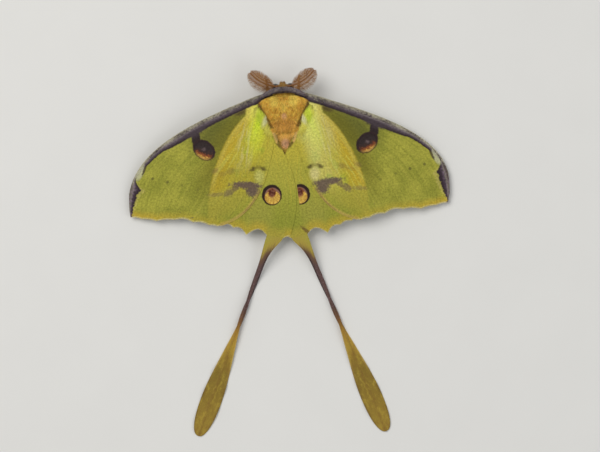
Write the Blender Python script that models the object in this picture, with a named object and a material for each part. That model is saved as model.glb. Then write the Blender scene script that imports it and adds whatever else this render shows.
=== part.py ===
"""A life-size African moon moth at rest on a floor, with its wings spread and its tails trailing.

Plan sizes are in millimetres: +X is the moth's right, +Y is towards its head, +Z is up, and (0, 0)
lies under the middle of the thorax. The last function turns them into metres and centres the moth.
"""

import math

import bmesh
import bpy
from mathutils import Matrix, Vector

MM = 0.001
GAP = 0.3  # kept between neighbouring pieces
SIDES = {"right": 1, "left": -1}

# Wings: how thick they are, and how the two pairs lie over one another.
MEMBRANE = 0.5
VEIN_RISE = 0.14  # a vein's crest above each face of the membrane
VEIN_REACH = 0.45  # from a vein's crest to its foot
LAYER = 1.3  # forewing above hindwing, middle to middle
CREST_EASE = 0.8  # the forewing stays up this far past the hindwing's edge
STEP_WIDTH = 5.0  # and comes down over this width
FREE_LIFT = 0.25  # forewing above the roof where nothing lies under it
LEFT_OVER_RIGHT = 1.15  # the left hindwing crosses over the right one, this much higher

# The roof is the sheet on which the hindwings lie, a rounded cone over the body.
ROOF_TOP = 10.3
ROOF_SLOPE = 0.155
ROOF_ROUND = 8.0
ROOF_Y = -6.0

CROSS_REACH = 8.5  # how far out on the left that extra height begins
CROSS_WIDTH = 5.5
CROSS_Y = -8.0

# The hind part of the moth is turned a little about the thorax, as the real one had settled.
HIND_TURN = math.radians(1.2)

# Each edge of a wing is a Bezier curve: root, two handles, tip. The right forewing lies flatter
# towards its tip than the left one, so from above its leading edge reaches further out.
FORE_COSTA = {
    "right": ((2.0, 5.4), (38.8, -6.4), (62.1, -15.0), (56.2, -37.3)),
    "left": ((2.0, 5.4), (38.3, -5.9), (59.0, -16.4), (55.8, -37.3)),
}
FORE_INNER = ((2.4, -3.6), (4.8, -21.0), (8.8, -38.0), (23.6, -41.5))
HIND_COSTA = ((4.0, -1.5), (16.5, 2.0), (27.0, -21.0), (28.3, -35.0))
HIND_INNER = ((3.0, -6.5), (6.6, -13.2), (-9.8, -22.5), (-1.0, -46.6))

# Veins in order across a wing: tip on the margin, share of the way from the costa's course to the
# inner edge's, and how deep the margin is cut in before the next vein.
FORE_VEINS = (
    ((51.8, -38.0), 0.15, 0.35),
    ((46.6, -38.9), 0.34, 0.5),
    ((40.3, -38.7), 0.44, 1.1),
    ((33.8, -39.9), 0.54, 0.8),
    ((28.2, -41.2), 0.66, 0.4),
    ((25.4, -41.7), 0.82, 0.2),
)
HIND_VEINS = (
    ((27.0, -38.6), 0.12, 0.3),
    ((22.8, -41.5), 0.26, 0.5),
    ((18.8, -42.9), 0.40, 0.8),
    ((14.4, -45.5), 0.52, 2.1),
    ((7.2, -46.0), 0.66, 0.0),
    ((1.6, -47.3), 0.80, 0.2),
)
FIRST_SCALLOP = 0.3  # between the costa's tip and the first vein's
CELL_END = 0.46  # share of a wing's length where the discal cell closes
ROWS = 13
COSTA_HALF = 0.5  # half thickness of the stout leading edge at its root
COSTA_DROOP = 0.9  # how far the leading edge rolls down
DROOP_REACH = 2.6

# Tails
TAIL_TILT = math.radians(21.8)  # outwards from straight back
TAIL_LENGTH = 75.0
TAIL_VEINS = (4, 5)  # the hindwing's veins between which it grows
TAIL_MIDDLE = 0.31  # its middle line starts this far from the outer one to the inner one
TAIL_SPLIT = 34.0  # stem and spatula are parted here
STEM_HALF = 0.95
FLARE_OUT = (0.8, 7.0)  # extra half width at the root on the outer side, and its length
FLARE_IN = (2.9, 4.2)
SPATULA_START = 31.0
SPATULA_WIDEST = 62.0
SPATULA_HALF = 3.7
TIP_BLUNTNESS = 2.3
TAIL_LANDING = 21.0  # the tail reaches the floor this far along
TWIST_START = 8.0
TWIST_END = 50.0  # from here the spatula lies flat
RIB_HALF = 0.5  # from the tail's middle surface to the crest of its midrib, which ends uppermost
RIB_REACH = 0.45  # share of the half width that the midrib takes
TAIL_STATIONS = 16
ROOT_EASE = 3.0  # the tail leaves the slope and line of the wing's margin over this length

# Body stations: y, half width, half height, height of the middle.
THORAX = ((4.4, 6.2, 3.8, 7.4), (0.3, 9.2, 5.2, 7.7), (-4.4, 6.8, 4.9, 7.5),
          (-8.2, 5.2, 4.3, 7.1), (-10.8, 4.6, 3.7, 6.4))
ABDOMEN = ((-10.2, 4.5, 3.7, 6.0), (-14.0, 4.5, 3.4, 5.5), (-24.0, 3.6, 2.8, 4.7),
           (-32.5, 2.0, 1.7, 4.2))
HEAD = ((8.0, 2.2, 2.0, 6.1), (5.6, 3.1, 2.8, 6.5), (3.2, 2.8, 2.6, 6.9))
SQUARENESS = 2.6  # exponent of the thorax's cross-section, where 2 is an ellipse
ABDOMEN_RINGS = 7
RING_RISE = 0.16
COLLAR_HALF = 1.25
COLLAR_SPAN = 7.8
COLLAR_FRONT = 5.2  # y of the collar's middle line at the front
COLLAR_BACK = 2.7  # and at its ends
COLLAR_TOP = 11.0
COLLAR_LOW = 10.1
EYE_PLACE = (2.6, 5.9, 6.0)
EYE_RADIUS = 1.5
PALP_LENGTH = 2.4
PALP_HALF = 0.55

# Antennae, feathered on both sides
ANTENNA_ROOT = (1.8, 6.2, 8.0)
ANTENNA_TURN = (math.radians(86), math.radians(36))  # outwards from straight ahead, root and tip
ANTENNA_LENGTH = 11.0
ANTENNA_RISE = 0.8
ANTENNA_STEPS = 10
SHAFT_HALF = (0.42, 0.28)
RAMI = 14  # on each side of a shaft
RAMUS_LENGTH = 4.2
RAMUS_SLANT = math.radians(52)  # from the shaft
RAMUS_HALF = 0.25

# Legs: hip, knee, ankle and toe of the right-hand ones, and the radius at each.
LEGS = {
    "fore": ((2.4, 2.6, 3.9), (5.4, 5.0, 4.8), (5.7, 7.6, 1.3), (5.9, 10.6)),
    "mid": ((3.0, -0.4, 3.6), (8.0, -0.2, 5.6), (10.8, -1.0, 1.4), (13.8, -2.0)),
    "hind": ((2.8, -4.4, 3.7), (7.2, -9.0, 5.4), (9.4, -13.8, 1.3), (11.0, -18.2)),
}
LEG_RADII = (1.05, 0.72, 0.46, 0.3)
FOOT_SINK = 0.06  # the floor cuts this much off a foot, which leaves its flat

COLOURS = {  # base colour, roughness
    "wing": ((0.55, 0.56, 0.11), 0.7),
    "tail": ((0.36, 0.22, 0.15), 0.7),
    "fur": ((0.60, 0.36, 0.10), 0.9),
    "collar": ((0.26, 0.21, 0.28), 0.9),
    "limb": ((0.24, 0.13, 0.09), 0.8),
    "eye": ((0.03, 0.02, 0.02), 0.25),
}


def clear_scene():
    for obj in list(bpy.data.objects):
        bpy.data.objects.remove(obj)


def smooth(x):
    """0 below 0, 1 above 1, and an even curve between."""
    x = min(1.0, max(0.0, x))
    return x * x * (3 - 2 * x)


def mix(a, b, share):
    return a + (b - a) * share


def bezier(points, t):
    """The point at share t of a Bezier curve given by four points."""
    weights = ((1 - t) ** 3, 3 * t * (1 - t) ** 2, 3 * t * t * (1 - t), t**3)
    return sum((Vector(p) * w for p, w in zip(points, weights)), Vector(points[0]) * 0)


def material(name):
    found = bpy.data.materials.get(name)
    if found:
        return found
    colour, roughness = COLOURS[name]
    made = bpy.data.materials.new(name)
    made.use_nodes = True
    shader = made.node_tree.nodes["Principled BSDF"]
    shader.inputs["Base Color"].default_value = (*colour, 1)
    shader.inputs["Roughness"].default_value = roughness
    return made


def finish_mesh(bm, name, finish):
    """A scene object from a bmesh, with its faces pointing outwards."""
    bmesh.ops.recalc_face_normals(bm, faces=bm.faces[:])
    mesh = bpy.data.meshes.new(name)
    bm.to_mesh(mesh)
    bm.free()
    obj = bpy.data.objects.new(name, mesh)
    obj.data.materials.append(material(finish))
    bpy.context.scene.collection.objects.link(obj)
    return obj


def apply_modifiers(obj):
    graph = bpy.context.evaluated_depsgraph_get()
    made = bpy.data.meshes.new_from_object(obj.evaluated_get(graph))
    obj.modifiers.clear()
    obj.data = made


def keep_largest(obj):
    """Drops the scraps that a cut can leave beside the main closed surface."""
    bm = bmesh.new()
    bm.from_mesh(obj.data)
    left, islands = set(bm.faces), []
    while left:
        island, edge_of = set(), [left.pop()]
        while edge_of:
            face = edge_of.pop()
            island.add(face)
            for other in {f for e in face.edges for f in e.link_faces} & left:
                left.discard(other)
                edge_of.append(other)
        islands.append(island)
    islands.sort(key=len)
    scraps = [f for island in islands[:-1] for f in island]
    bmesh.ops.delete(bm, geom=scraps, context="FACES")
    bm.to_mesh(obj.data)
    bm.free()


def cut_away(obj, cutters):
    """Takes each cutter's space out of obj. The cutters are grown copies of its neighbours."""
    for cutter in cutters:
        boolean = obj.modifiers.new("cut", "BOOLEAN")
        boolean.operation = "DIFFERENCE"
        boolean.solver = "EXACT"
        boolean.object = cutter
    apply_modifiers(obj)
    for cutter in cutters:
        bpy.data.objects.remove(cutter)
    keep_largest(obj)


def fuse(obj, pieces):
    """Joins pieces into obj, so that it is one closed body."""
    held = bpy.data.collections.new("pieces")
    bpy.context.scene.collection.children.link(held)
    for piece in pieces:
        held.objects.link(piece)
    boolean = obj.modifiers.new("join", "BOOLEAN")
    boolean.operation = "UNION"
    boolean.solver = "EXACT"
    boolean.operand_type = "COLLECTION"
    boolean.collection = held
    apply_modifiers(obj)
    for piece in pieces:
        bpy.data.objects.remove(piece)
    bpy.data.collections.remove(held)
    keep_largest(obj)


# Wings


def roof(side, x, y):
    """Height of the sheet on which the hindwing of that side lies."""
    out = math.hypot(x, y - ROOF_Y)
    cone = ROOF_TOP - ROOF_SLOPE * (math.hypot(out, ROOF_ROUND) - ROOF_ROUND)
    if side > 0:
        return cone
    return cone + LEFT_OVER_RIGHT * smooth((CROSS_REACH + x) / CROSS_WIDTH) * smooth((CROSS_Y - y) / CROSS_WIDTH)


def turn_hind(x, y):
    """The plan place of a hind point after the small turn about the thorax."""
    return x + y * math.sin(HIND_TURN), y - x * math.sin(HIND_TURN)


def hind_edge_at(y):
    """How far out the hindwing's leading edge lies at a given y."""
    low, high = 0.0, 1.0
    for _ in range(24):
        middle = (low + high) / 2
        if bezier(HIND_COSTA, middle)[1] > y or middle < 0.16:
            low = middle
        else:
            high = middle
    return bezier(HIND_COSTA, high)[0]


def rails_of(costa, inner, veins):
    """The curves that run from the wing's root to its margin: the edges with the veins between."""
    costa = [Vector(p) for p in costa]
    inner = [Vector(p) for p in inner]
    rails = [costa]
    for tip, share, _ in veins:
        tip = Vector(tip)
        root = costa[0].lerp(inner[0], share)
        near = costa[1].lerp(inner[1], share)
        far = tip + (costa[2] - costa[3]).lerp(inner[2] - inner[3], share)
        rails.append([root, near, far, tip])
    return rails + [inner]


def wing_columns(gaps):
    """Each column is a gap's number and where it stands: crest, foot, middle or next foot."""
    columns = [(gap, place) for gap in range(gaps) for place in ("crest", "foot", "middle", "next")]
    return columns + [(gaps - 1, "end")]


def place_across(place, width):
    foot = min(0.3, VEIN_REACH / max(width, 0.01))
    return {"crest": 0.0, "foot": foot, "middle": 0.5, "next": 1 - foot, "end": 1.0}[place]


def wing_sheet(costa, inner, veins, height):
    """The middle surface of a right wing as a bmesh, with each point's half thickness in a layer.

    height takes a plan point, its distance from the leading edge and its share of the wing's length.
    """
    rails = rails_of(costa, inner, veins)
    depths = [FIRST_SCALLOP] + [depth for _, _, depth in veins]
    lengths = [sum((bezier(r, (i + 1) / 8) - bezier(r, i / 8)).length for i in range(8)) for r in rails]
    columns = wing_columns(len(rails) - 1)
    rows = [1 - (1 - i / ROWS) ** 1.25 for i in range(ROWS + 1)]
    cell_row = min(range(ROWS + 1), key=lambda i: abs(rows[i] - CELL_END))

    bm = bmesh.new()
    half = bm.verts.layers.float.new("half")
    bmesh.ops.create_grid(bm, x_segments=len(columns) - 1, y_segments=ROWS, size=0.5)
    for vert in bm.verts:
        gap, place = columns[round((vert.co.x + 0.5) * (len(columns) - 1))]
        row = round((vert.co.y + 0.5) * ROWS)
        t = rows[row]
        width = (bezier(rails[gap + 1], t) - bezier(rails[gap], t)).length
        across = place_across(place, width)
        pull = depths[gap] * math.sin(math.pi * across) / lengths[gap] * smooth((t - 0.6) / 0.4)
        point = bezier(rails[gap], t - pull).lerp(bezier(rails[gap + 1], t - pull), across)
        inside = (point - bezier(rails[0], t - pull)).length
        crest = place in ("crest", "end")
        vein = gap + (place == "end")
        in_cell = 2 <= vein <= 4 and row < cell_row
        closing = row == cell_row and 1 <= gap <= 4 and not crest
        rise = VEIN_RISE if (crest and not in_cell) or closing else 0.0
        vert[half] = MEMBRANE / 2 + rise
        if gap == 0 and place in ("crest", "foot"):
            vert[half] = mix(COSTA_HALF, MEMBRANE / 2 + VEIN_RISE, t)
        vert.co = (point.x, point.y, height(point, inside, t))
    return bm


def thicken(bm):
    """Turns a sheet into a closed solid, with the same triangles on both of its faces."""
    half = bm.verts.layers.float["half"]
    bmesh.ops.triangulate(bm, faces=bm.faces[:], quad_method="FIXED")
    below = bm.verts[:]
    above = bmesh.ops.extrude_face_region(bm, geom=bm.faces[:])["geom"]
    for vert in below:
        vert.co.z -= vert[half]
    for vert in (g for g in above if isinstance(g, bmesh.types.BMVert)):
        vert.co.z += vert[half]


def forewing_height(side):
    """The forewing lies over the hindwing, steps down past its edge and rolls over in front."""

    def height(point, inside, t):
        past = point.x - hind_edge_at(point.y) - CREST_EASE
        cover = 1 - smooth(past / STEP_WIDTH)
        roll = COSTA_DROOP * math.exp(-((inside / DROOP_REACH) ** 2)) * smooth(t * 4) * smooth((1 - t) * 3)
        return roof(side, side * point.x, point.y) + mix(FREE_LIFT, LAYER, cover) - roll

    return height


def hindwing_height(side):
    def height(point, inside, t):
        return roof(side, *turn_hind(side * point.x, point.y))

    return height


def forewing(side_name):
    side = SIDES[side_name]
    bm = wing_sheet(FORE_COSTA[side_name], FORE_INNER, FORE_VEINS, forewing_height(side))
    thicken(bm)
    for vert in bm.verts:
        vert.co.x *= side
    wing = finish_mesh(bm, f"forewing_{side_name}", "wing")
    cut_away(wing, [thorax(GAP), collar(GAP)])
    return wing


def hindwing(side_name):
    side = SIDES[side_name]
    bm = wing_sheet(HIND_COSTA, HIND_INNER, HIND_VEINS, hindwing_height(side))
    thicken(bm)
    for vert in bm.verts:
        vert.co.x, vert.co.y = turn_hind(side * vert.co.x, vert.co.y)
    wing = finish_mesh(bm, f"hindwing_{side_name}", "wing")
    cut_away(wing, [thorax(GAP)])
    return wing


# Tails


def tail_widths(d):
    """Outer and inner half widths of a tail at distance d along it."""
    spread = smooth((d - SPATULA_START) / (SPATULA_WIDEST - SPATULA_START))
    half = mix(STEM_HALF, SPATULA_HALF, spread)
    past = max(0.0, d - SPATULA_WIDEST) / (TAIL_LENGTH - SPATULA_WIDEST)
    half *= max(0.0, 1 - past**TIP_BLUNTNESS) ** (1 / TIP_BLUNTNESS)
    outer = half + FLARE_OUT[0] * math.exp(-((d / FLARE_OUT[1]) ** 2))
    inner = half + FLARE_IN[0] * math.exp(-((d / FLARE_IN[1]) ** 1.4))
    return max(outer, 0.3), max(inner, 0.3)


def tail_twist(d):
    """The ribbon makes half a turn between its root and its spatula."""
    return math.pi * smooth((d - TWIST_START) / (TWIST_END - TWIST_START))


def tail_section(d, side):
    """The ring of points round the ribbon at distance d. Its root runs along the wing's margin."""
    along = Vector((math.sin(TAIL_TILT), -math.cos(TAIL_TILT), 0))
    across = Vector((math.cos(TAIL_TILT), math.sin(TAIL_TILT), 0))
    outer_tip, inner_tip = (Vector((*HIND_VEINS[i][0], 0)) for i in TAIL_VEINS)
    start = outer_tip.lerp(inner_tip, TAIL_MIDDLE)
    middle = start + along * d
    outer, inner = tail_widths(d)
    turn = tail_twist(d)
    wide = across * math.cos(turn) + Vector((0, 0, 1)) * math.sin(turn)
    up = Vector((0, 0, 1)) * math.cos(turn) - across * math.sin(turn)
    margin = outer_tip - inner_tip
    skew = margin.dot(along) / margin.dot(across) * math.exp(-d / ROOT_EASE)
    flat = MEMBRANE / 2
    rib = mix(flat, RIB_HALF, min(1.0, d / ROOT_EASE))
    faces = {1: ((1.0, flat), (0.0, flat), (-1.0, flat)),
             -1: ((-1.0, flat), (-RIB_REACH, flat), (0.0, rib), (RIB_REACH, flat), (1.0, flat))}
    ring = []
    for face, profile in faces.items():
        for place, half in profile:
            lateral = place * (outer if place > 0 else inner)
            ring.append(middle + wide * lateral + up * half * face + along * skew * lateral)
    fall = smooth(d / TAIL_LANDING)
    lowest = min(p.z for p in ring)
    root_height = roof(side, *turn_hind(side * start.x, start.y))
    level = mix(root_height, -lowest, fall)
    placed = []
    for p in ring:
        x, y = turn_hind(side * p.x, p.y)
        slope = roof(side, x, y) - root_height
        placed.append(Vector((x, y, p.z + level + slope * math.exp(-d / ROOT_EASE) * (1 - fall))))
    return placed


def tail_piece(name, distances, side):
    """A length of tail as a closed tube of flat sections."""
    bm = bmesh.new()
    rings = [[bm.verts.new(p) for p in tail_section(d, side)] for d in distances]
    for one, two in zip(rings, rings[1:]):
        for j in range(len(one)):
            k = (j + 1) % len(one)
            bm.faces.new((one[j], one[k], two[k], two[j]))
    for ring in (rings[0], rings[-1]):
        bm.faces.new(ring)
    bmesh.ops.triangulate(bm, faces=bm.faces[:], quad_method="FIXED")
    return finish_mesh(bm, name, "tail")


def tail(side_name):
    side = SIDES[side_name]
    shares = [i / TAIL_STATIONS for i in range(TAIL_STATIONS + 1)]
    stem = [mix(GAP * 1.1, TAIL_SPLIT, share) for share in shares]
    spatula = [mix(TAIL_SPLIT + GAP, TAIL_LENGTH, math.sin(share * math.pi / 2)) for share in shares]
    tail_piece(f"tail_stem_{side_name}", stem, side)
    tail_piece(f"tail_spatula_{side_name}", spatula, side)


# Body


def station_at(stations, y):
    """Half width, half height and middle height at y, eased between the stations."""
    for one, two in zip(stations, stations[1:]):
        if y >= two[0]:
            share = smooth((one[0] - y) / (one[0] - two[0]))
            return [mix(a, b, share) for a, b in zip(one[1:], two[1:])]
    return stations[-1][1:]


def superellipse(x, z, power):
    """Moves a direction's point out to the superellipse of unit half axes."""
    reach = (abs(x) ** power + abs(z) ** power) ** (1 / power)
    return x / reach, z / reach


def spindle(name, finish, stations, caps, segments, rings, grow=0.0, relief=None, power=2.0):
    """A body form along Y from a sphere: its rings take the stations' sizes, its ends are rounded."""
    front, rear = stations[0][0], stations[-1][0]
    bm = bmesh.new()
    bmesh.ops.create_uvsphere(bm, u_segments=segments, v_segments=rings, radius=1.0)
    bmesh.ops.rotate(bm, verts=bm.verts[:], matrix=Matrix.Rotation(math.radians(-90), 3, "X"))
    for vert in bm.verts:
        share = math.acos(max(-1.0, min(1.0, vert.co.y))) / math.pi
        y = mix(front, rear, share)
        half_width, half_height, middle = station_at(stations, y)
        front_cap = min(1.0, (front - y) / caps[0])
        rear_cap = min(1.0, (y - rear) / caps[1])
        rounding = math.sqrt(max(0.0, 1 - (1 - front_cap) ** 2)) * math.sqrt(max(0.0, 1 - (1 - rear_cap) ** 2))
        y += grow * (1 - 2 * share)
        if math.hypot(vert.co.x, vert.co.z) < 1e-5:
            vert.co = (0, y, middle)
            continue
        x, z = superellipse(vert.co.x, vert.co.z, power)
        swell = rounding + (relief(y) if relief else 0) / half_width
        vert.co = (x * (half_width * swell + grow), y, middle + z * (half_height * swell + grow))
    return finish_mesh(bm, name, finish)


def thorax(grow=0.0):
    return spindle("thorax", "fur", THORAX, (3.0, 2.6), 28, 22, grow, None, SQUARENESS)


def ring_relief(y):
    """The abdomen's rings swell before each joint and pull in at it."""
    length = ABDOMEN[0][0] - ABDOMEN[-1][0]
    place = (ABDOMEN[0][0] - y) / length * ABDOMEN_RINGS % 1.0
    ends = min(1.0, (ABDOMEN[0][0] - y) / 2.0, (y - ABDOMEN[-1][0]) / 2.0)
    return RING_RISE * (math.sin(math.pi * place) ** 0.6 - 0.5) * max(0.0, ends)


def abdomen():
    obj = spindle("abdomen", "fur", ABDOMEN, (1.5, 3.5), 22, 36, 0.0, ring_relief)
    cut_away(obj, [thorax(GAP)])
    return obj


def collar(grow=0.0):
    """The rolled band of hair that crosses in front of the thorax between the leading edges."""
    bm = bmesh.new()
    segments, rings = 12, 20
    bmesh.ops.create_uvsphere(bm, u_segments=segments, v_segments=rings, radius=1.0)
    bmesh.ops.rotate(bm, verts=bm.verts[:], matrix=Matrix.Rotation(math.radians(90), 3, "Y"))
    for vert in bm.verts:
        share = 1 - math.acos(max(-1.0, min(1.0, vert.co.x))) / math.pi * 2
        x = share * (COLLAR_SPAN + grow)
        bow = math.cos(share * math.pi / 2)
        y = mix(COLLAR_BACK, COLLAR_FRONT, bow)
        z = mix(COLLAR_LOW, COLLAR_TOP, bow)
        half = COLLAR_HALF * min(1.0, math.sqrt(max(0.0, 1 - abs(share) ** 5))) + grow
        ring = max(math.hypot(vert.co.y, vert.co.z), 1e-6)
        tip = ring <= 1e-5
        vert.co = (x, y + (0 if tip else vert.co.y / ring * half), z + (0 if tip else vert.co.z / ring * half))
    return finish_mesh(bm, "collar", "collar")


def eye(side_name, grow=0.0):
    bm = bmesh.new()
    bmesh.ops.create_icosphere(bm, subdivisions=2, radius=EYE_RADIUS + grow)
    x, y, z = EYE_PLACE
    bmesh.ops.translate(bm, verts=bm.verts[:], vec=(SIDES[side_name] * x, y, z))
    return finish_mesh(bm, f"eye_{side_name}", "eye")


def palp(side):
    """A short scaly feeler under the face."""
    bm = bmesh.new()
    bmesh.ops.create_cone(bm, cap_ends=True, segments=8, radius1=PALP_HALF, radius2=PALP_HALF * 0.6, depth=PALP_LENGTH)
    lean = Matrix.Translation((side * 0.8, 7.6, 5.0)) @ Matrix.Rotation(math.radians(-70), 4, "X")
    bmesh.ops.transform(bm, matrix=lean, verts=bm.verts[:])
    return finish_mesh(bm, "palp", "fur")


def head_form(grow=0.0):
    return spindle("head", "fur", HEAD, (2.0, 1.6), 20, 14, grow)


def head():
    obj = head_form()
    fuse(obj, [palp(1), palp(-1)])
    cut_away(obj, [thorax(GAP), collar(GAP), eye("right", GAP), eye("left", GAP)])
    return obj


# Limbs


def tube(name, finish, path, radii, resolution=1):
    """A tapered round tube along a path, with closed ends."""
    curve = bpy.data.curves.new(name, "CURVE")
    curve.dimensions = "3D"
    curve.bevel_depth = 1.0
    curve.bevel_resolution = resolution
    curve.use_fill_caps = True
    spline = curve.splines.new("POLY")
    spline.points.add(len(path) - 1)
    for point, place, radius in zip(spline.points, path, radii):
        point.co = (*place, 1)
        point.radius = radius
    source = bpy.data.objects.new(name, curve)
    bpy.context.scene.collection.objects.link(source)
    graph = bpy.context.evaluated_depsgraph_get()
    mesh = bpy.data.meshes.new_from_object(source.evaluated_get(graph))
    bpy.data.objects.remove(source)
    bm = bmesh.new()
    bm.from_mesh(mesh)
    bmesh.ops.remove_doubles(bm, verts=bm.verts[:], dist=1e-4)
    return finish_mesh(bm, name, finish)


def rounded_path(points, steps):
    """A smooth path through the points, as quadratic curves about each inner point."""
    path = [points[0]]
    for before, corner, after in zip(points, points[1:], points[2:]):
        start, end = before.lerp(corner, 0.6), corner.lerp(after, 0.4)
        for i in range(steps + 1):
            t = i / steps
            path.append(start.lerp(corner, t).lerp(corner.lerp(end, t), t))
    return path + [points[-1]]


def stand_on_floor(obj):
    """Cuts off what lies below the floor and closes the flat that it leaves."""
    bm = bmesh.new()
    bm.from_mesh(obj.data)
    cut = bmesh.ops.bisect_plane(bm, geom=bm.verts[:] + bm.edges[:] + bm.faces[:], plane_co=(0, 0, 0),
                                 plane_no=(0, 0, -1), clear_outer=True)
    edges = [g for g in cut["geom_cut"] if isinstance(g, bmesh.types.BMEdge)]
    bmesh.ops.holes_fill(bm, edges=edges, sides=0)
    bmesh.ops.recalc_face_normals(bm, faces=bm.faces[:])
    bm.to_mesh(obj.data)
    bm.free()


def leg(pair, side_name):
    hip, knee, ankle, toe = LEGS[pair]
    foot = LEG_RADII[3] - FOOT_SINK
    heel = Vector((mix(ankle[0], toe[0], 0.3), mix(ankle[1], toe[1], 0.3), foot))
    corners = [Vector(hip), Vector(knee), Vector(ankle), heel, Vector((*toe, foot))]
    path = rounded_path(corners, 3)
    run = [0.0]
    for one, two in zip(path, path[1:]):
        run.append(run[-1] + (two - one).length)
    radii = []
    for place in run:
        share = place / run[-1] * 3
        index = min(2, int(share))
        radii.append(mix(LEG_RADII[index], LEG_RADII[index + 1], share - index))
    for i, point in enumerate(path):
        if i >= len(path) - 4:
            point.z = foot
            radii[i] = LEG_RADII[3]
    path = [Vector((SIDES[side_name] * p.x, p.y, p.z)) for p in path]
    obj = tube(f"leg_{pair}_{side_name}", "limb", path, radii)
    stand_on_floor(obj)
    cut_away(obj, [thorax(GAP)])
    return obj


def antenna_point(side, share):
    """A point on the shaft, which leaves the head sideways and curves forwards."""
    x, y, z = ANTENNA_ROOT
    start, end = ANTENNA_TURN
    bend = (end - start) / ANTENNA_LENGTH
    run = ANTENNA_LENGTH * share
    turn = start + bend * run
    x += (math.cos(start) - math.cos(turn)) / bend
    y += (math.sin(turn) - math.sin(start)) / bend
    return Vector((side * x, y, z + ANTENNA_RISE * math.sin(math.pi * 0.75 * share)))


def ramus(side, share, row):
    """One tapered branch of the feathered antenna, rooted in the shaft."""
    root = antenna_point(side, share)
    along = (antenna_point(side, share + 0.02) - antenna_point(side, share - 0.02)).normalized()
    across = along.cross(Vector((0, 0, 1))).normalized() * row
    length = RAMUS_LENGTH * math.sin(math.pi * min(1.0, 0.18 + 0.78 * share)) ** 0.8
    aim = (along * math.cos(RAMUS_SLANT) + across * math.sin(RAMUS_SLANT)).normalized()
    droop = Vector((0, 0, -0.12 * length))
    path = [root, root + aim * length * 0.5, root + aim * length + droop]
    return tube("ramus", "limb", path, [RAMUS_HALF, RAMUS_HALF, RAMUS_HALF * 0.5], 0)


def antenna(side_name):
    side = SIDES[side_name]
    shares = [i / ANTENNA_STEPS for i in range(ANTENNA_STEPS + 1)]
    path = [antenna_point(side, share) for share in shares]
    radii = [mix(*SHAFT_HALF, share) for share in shares]
    obj = tube(f"antenna_{side_name}", "limb", path, radii)
    rami = [ramus(side, mix(0.16, 0.97, i / (RAMI - 1)), row) for i in range(RAMI) for row in (1, -1)]
    fuse(obj, rami)
    cut_away(obj, [head_form(GAP), collar(GAP)])
    return obj


def to_metres():
    """Turns every piece into metres, with the origin under the middle of the moth."""
    objects = [o for o in bpy.context.scene.objects if o.type == "MESH"]
    points = [v.co for o in objects for v in o.data.vertices]
    low = Vector(min(p[i] for p in points) for i in range(3))
    high = Vector(max(p[i] for p in points) for i in range(3))
    middle = Vector(((low.x + high.x) / 2, (low.y + high.y) / 2, low.z))
    for obj in objects:
        obj.data.transform(Matrix.Scale(MM, 4) @ Matrix.Translation(-middle))
        obj.data.shade_smooth()
        obj.data.set_sharp_from_angle(angle=math.radians(40))


def build():
    clear_scene()
    thorax()
    abdomen()
    collar_piece = collar()
    cut_away(collar_piece, [thorax(GAP)])
    for side_name in SIDES:
        eye(side_name)
        antenna(side_name)
        forewing(side_name)
        hindwing(side_name)
        tail(side_name)
        for pair in LEGS:
            leg(pair, side_name)
    head()
    to_metres()


build()
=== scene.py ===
import math

import bmesh
import bpy
import numpy as np
from mathutils import Matrix, Vector


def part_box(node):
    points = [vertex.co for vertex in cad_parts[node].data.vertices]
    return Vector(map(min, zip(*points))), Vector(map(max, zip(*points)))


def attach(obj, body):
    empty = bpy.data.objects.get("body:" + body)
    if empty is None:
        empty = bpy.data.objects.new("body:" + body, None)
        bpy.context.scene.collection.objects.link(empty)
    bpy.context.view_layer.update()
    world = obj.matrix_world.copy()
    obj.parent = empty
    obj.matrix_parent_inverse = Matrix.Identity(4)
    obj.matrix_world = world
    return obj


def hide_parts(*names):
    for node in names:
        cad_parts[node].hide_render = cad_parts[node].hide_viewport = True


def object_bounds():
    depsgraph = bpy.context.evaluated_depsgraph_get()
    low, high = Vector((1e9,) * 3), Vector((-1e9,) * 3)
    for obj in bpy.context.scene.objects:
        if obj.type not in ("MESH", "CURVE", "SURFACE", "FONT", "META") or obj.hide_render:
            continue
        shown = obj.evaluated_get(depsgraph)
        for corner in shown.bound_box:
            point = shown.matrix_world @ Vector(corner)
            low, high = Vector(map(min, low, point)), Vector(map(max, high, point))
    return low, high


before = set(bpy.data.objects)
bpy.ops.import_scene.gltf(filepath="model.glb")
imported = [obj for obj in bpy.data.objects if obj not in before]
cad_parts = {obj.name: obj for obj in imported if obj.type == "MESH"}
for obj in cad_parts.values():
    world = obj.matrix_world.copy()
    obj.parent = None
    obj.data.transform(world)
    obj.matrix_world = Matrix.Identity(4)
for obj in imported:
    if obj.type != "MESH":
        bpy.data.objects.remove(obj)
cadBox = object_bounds()

# Plan sizes are in millimetres about the moth's own middle, +x its right, +y its head, +z up.
mm = 0.001
eyePlace = Vector((2.6, 5.9, 6.0))
eyeLow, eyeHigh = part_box("eye_right")
bodyMiddle = (eyeLow + eyeHigh) / 2 - eyePlace * mm
sides = {"right": 1, "left": -1}
upwards = np.array([0, 0, 1.0])
print("stage 1: frame loaded, moth's middle at", [round(v, 5) for v in bodyMiddle])


# small maths on numbers and arrays

def smooth(x):
    x = np.clip(x, 0.0, 1.0)
    return x * x * (3 - 2 * x)


def mixed(a, b, share):
    return a + (b - a) * share


def columns(*values):
    # arrays and numbers side by side, one row for each place
    return np.stack(np.broadcast_arrays(*values), -1)


def bezier(points, t):
    p = np.asarray(points, float)
    t = np.asarray(t, float)[..., None]
    return (p[..., 0, :] * (1 - t) ** 3 + p[..., 1, :] * 3 * t * (1 - t) ** 2
            + p[..., 2, :] * 3 * t * t * (1 - t) + p[..., 3, :] * t ** 3)


def curveLine(points, count=200, start=0):
    return bezier(points, np.linspace(start, 1, count))


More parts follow.
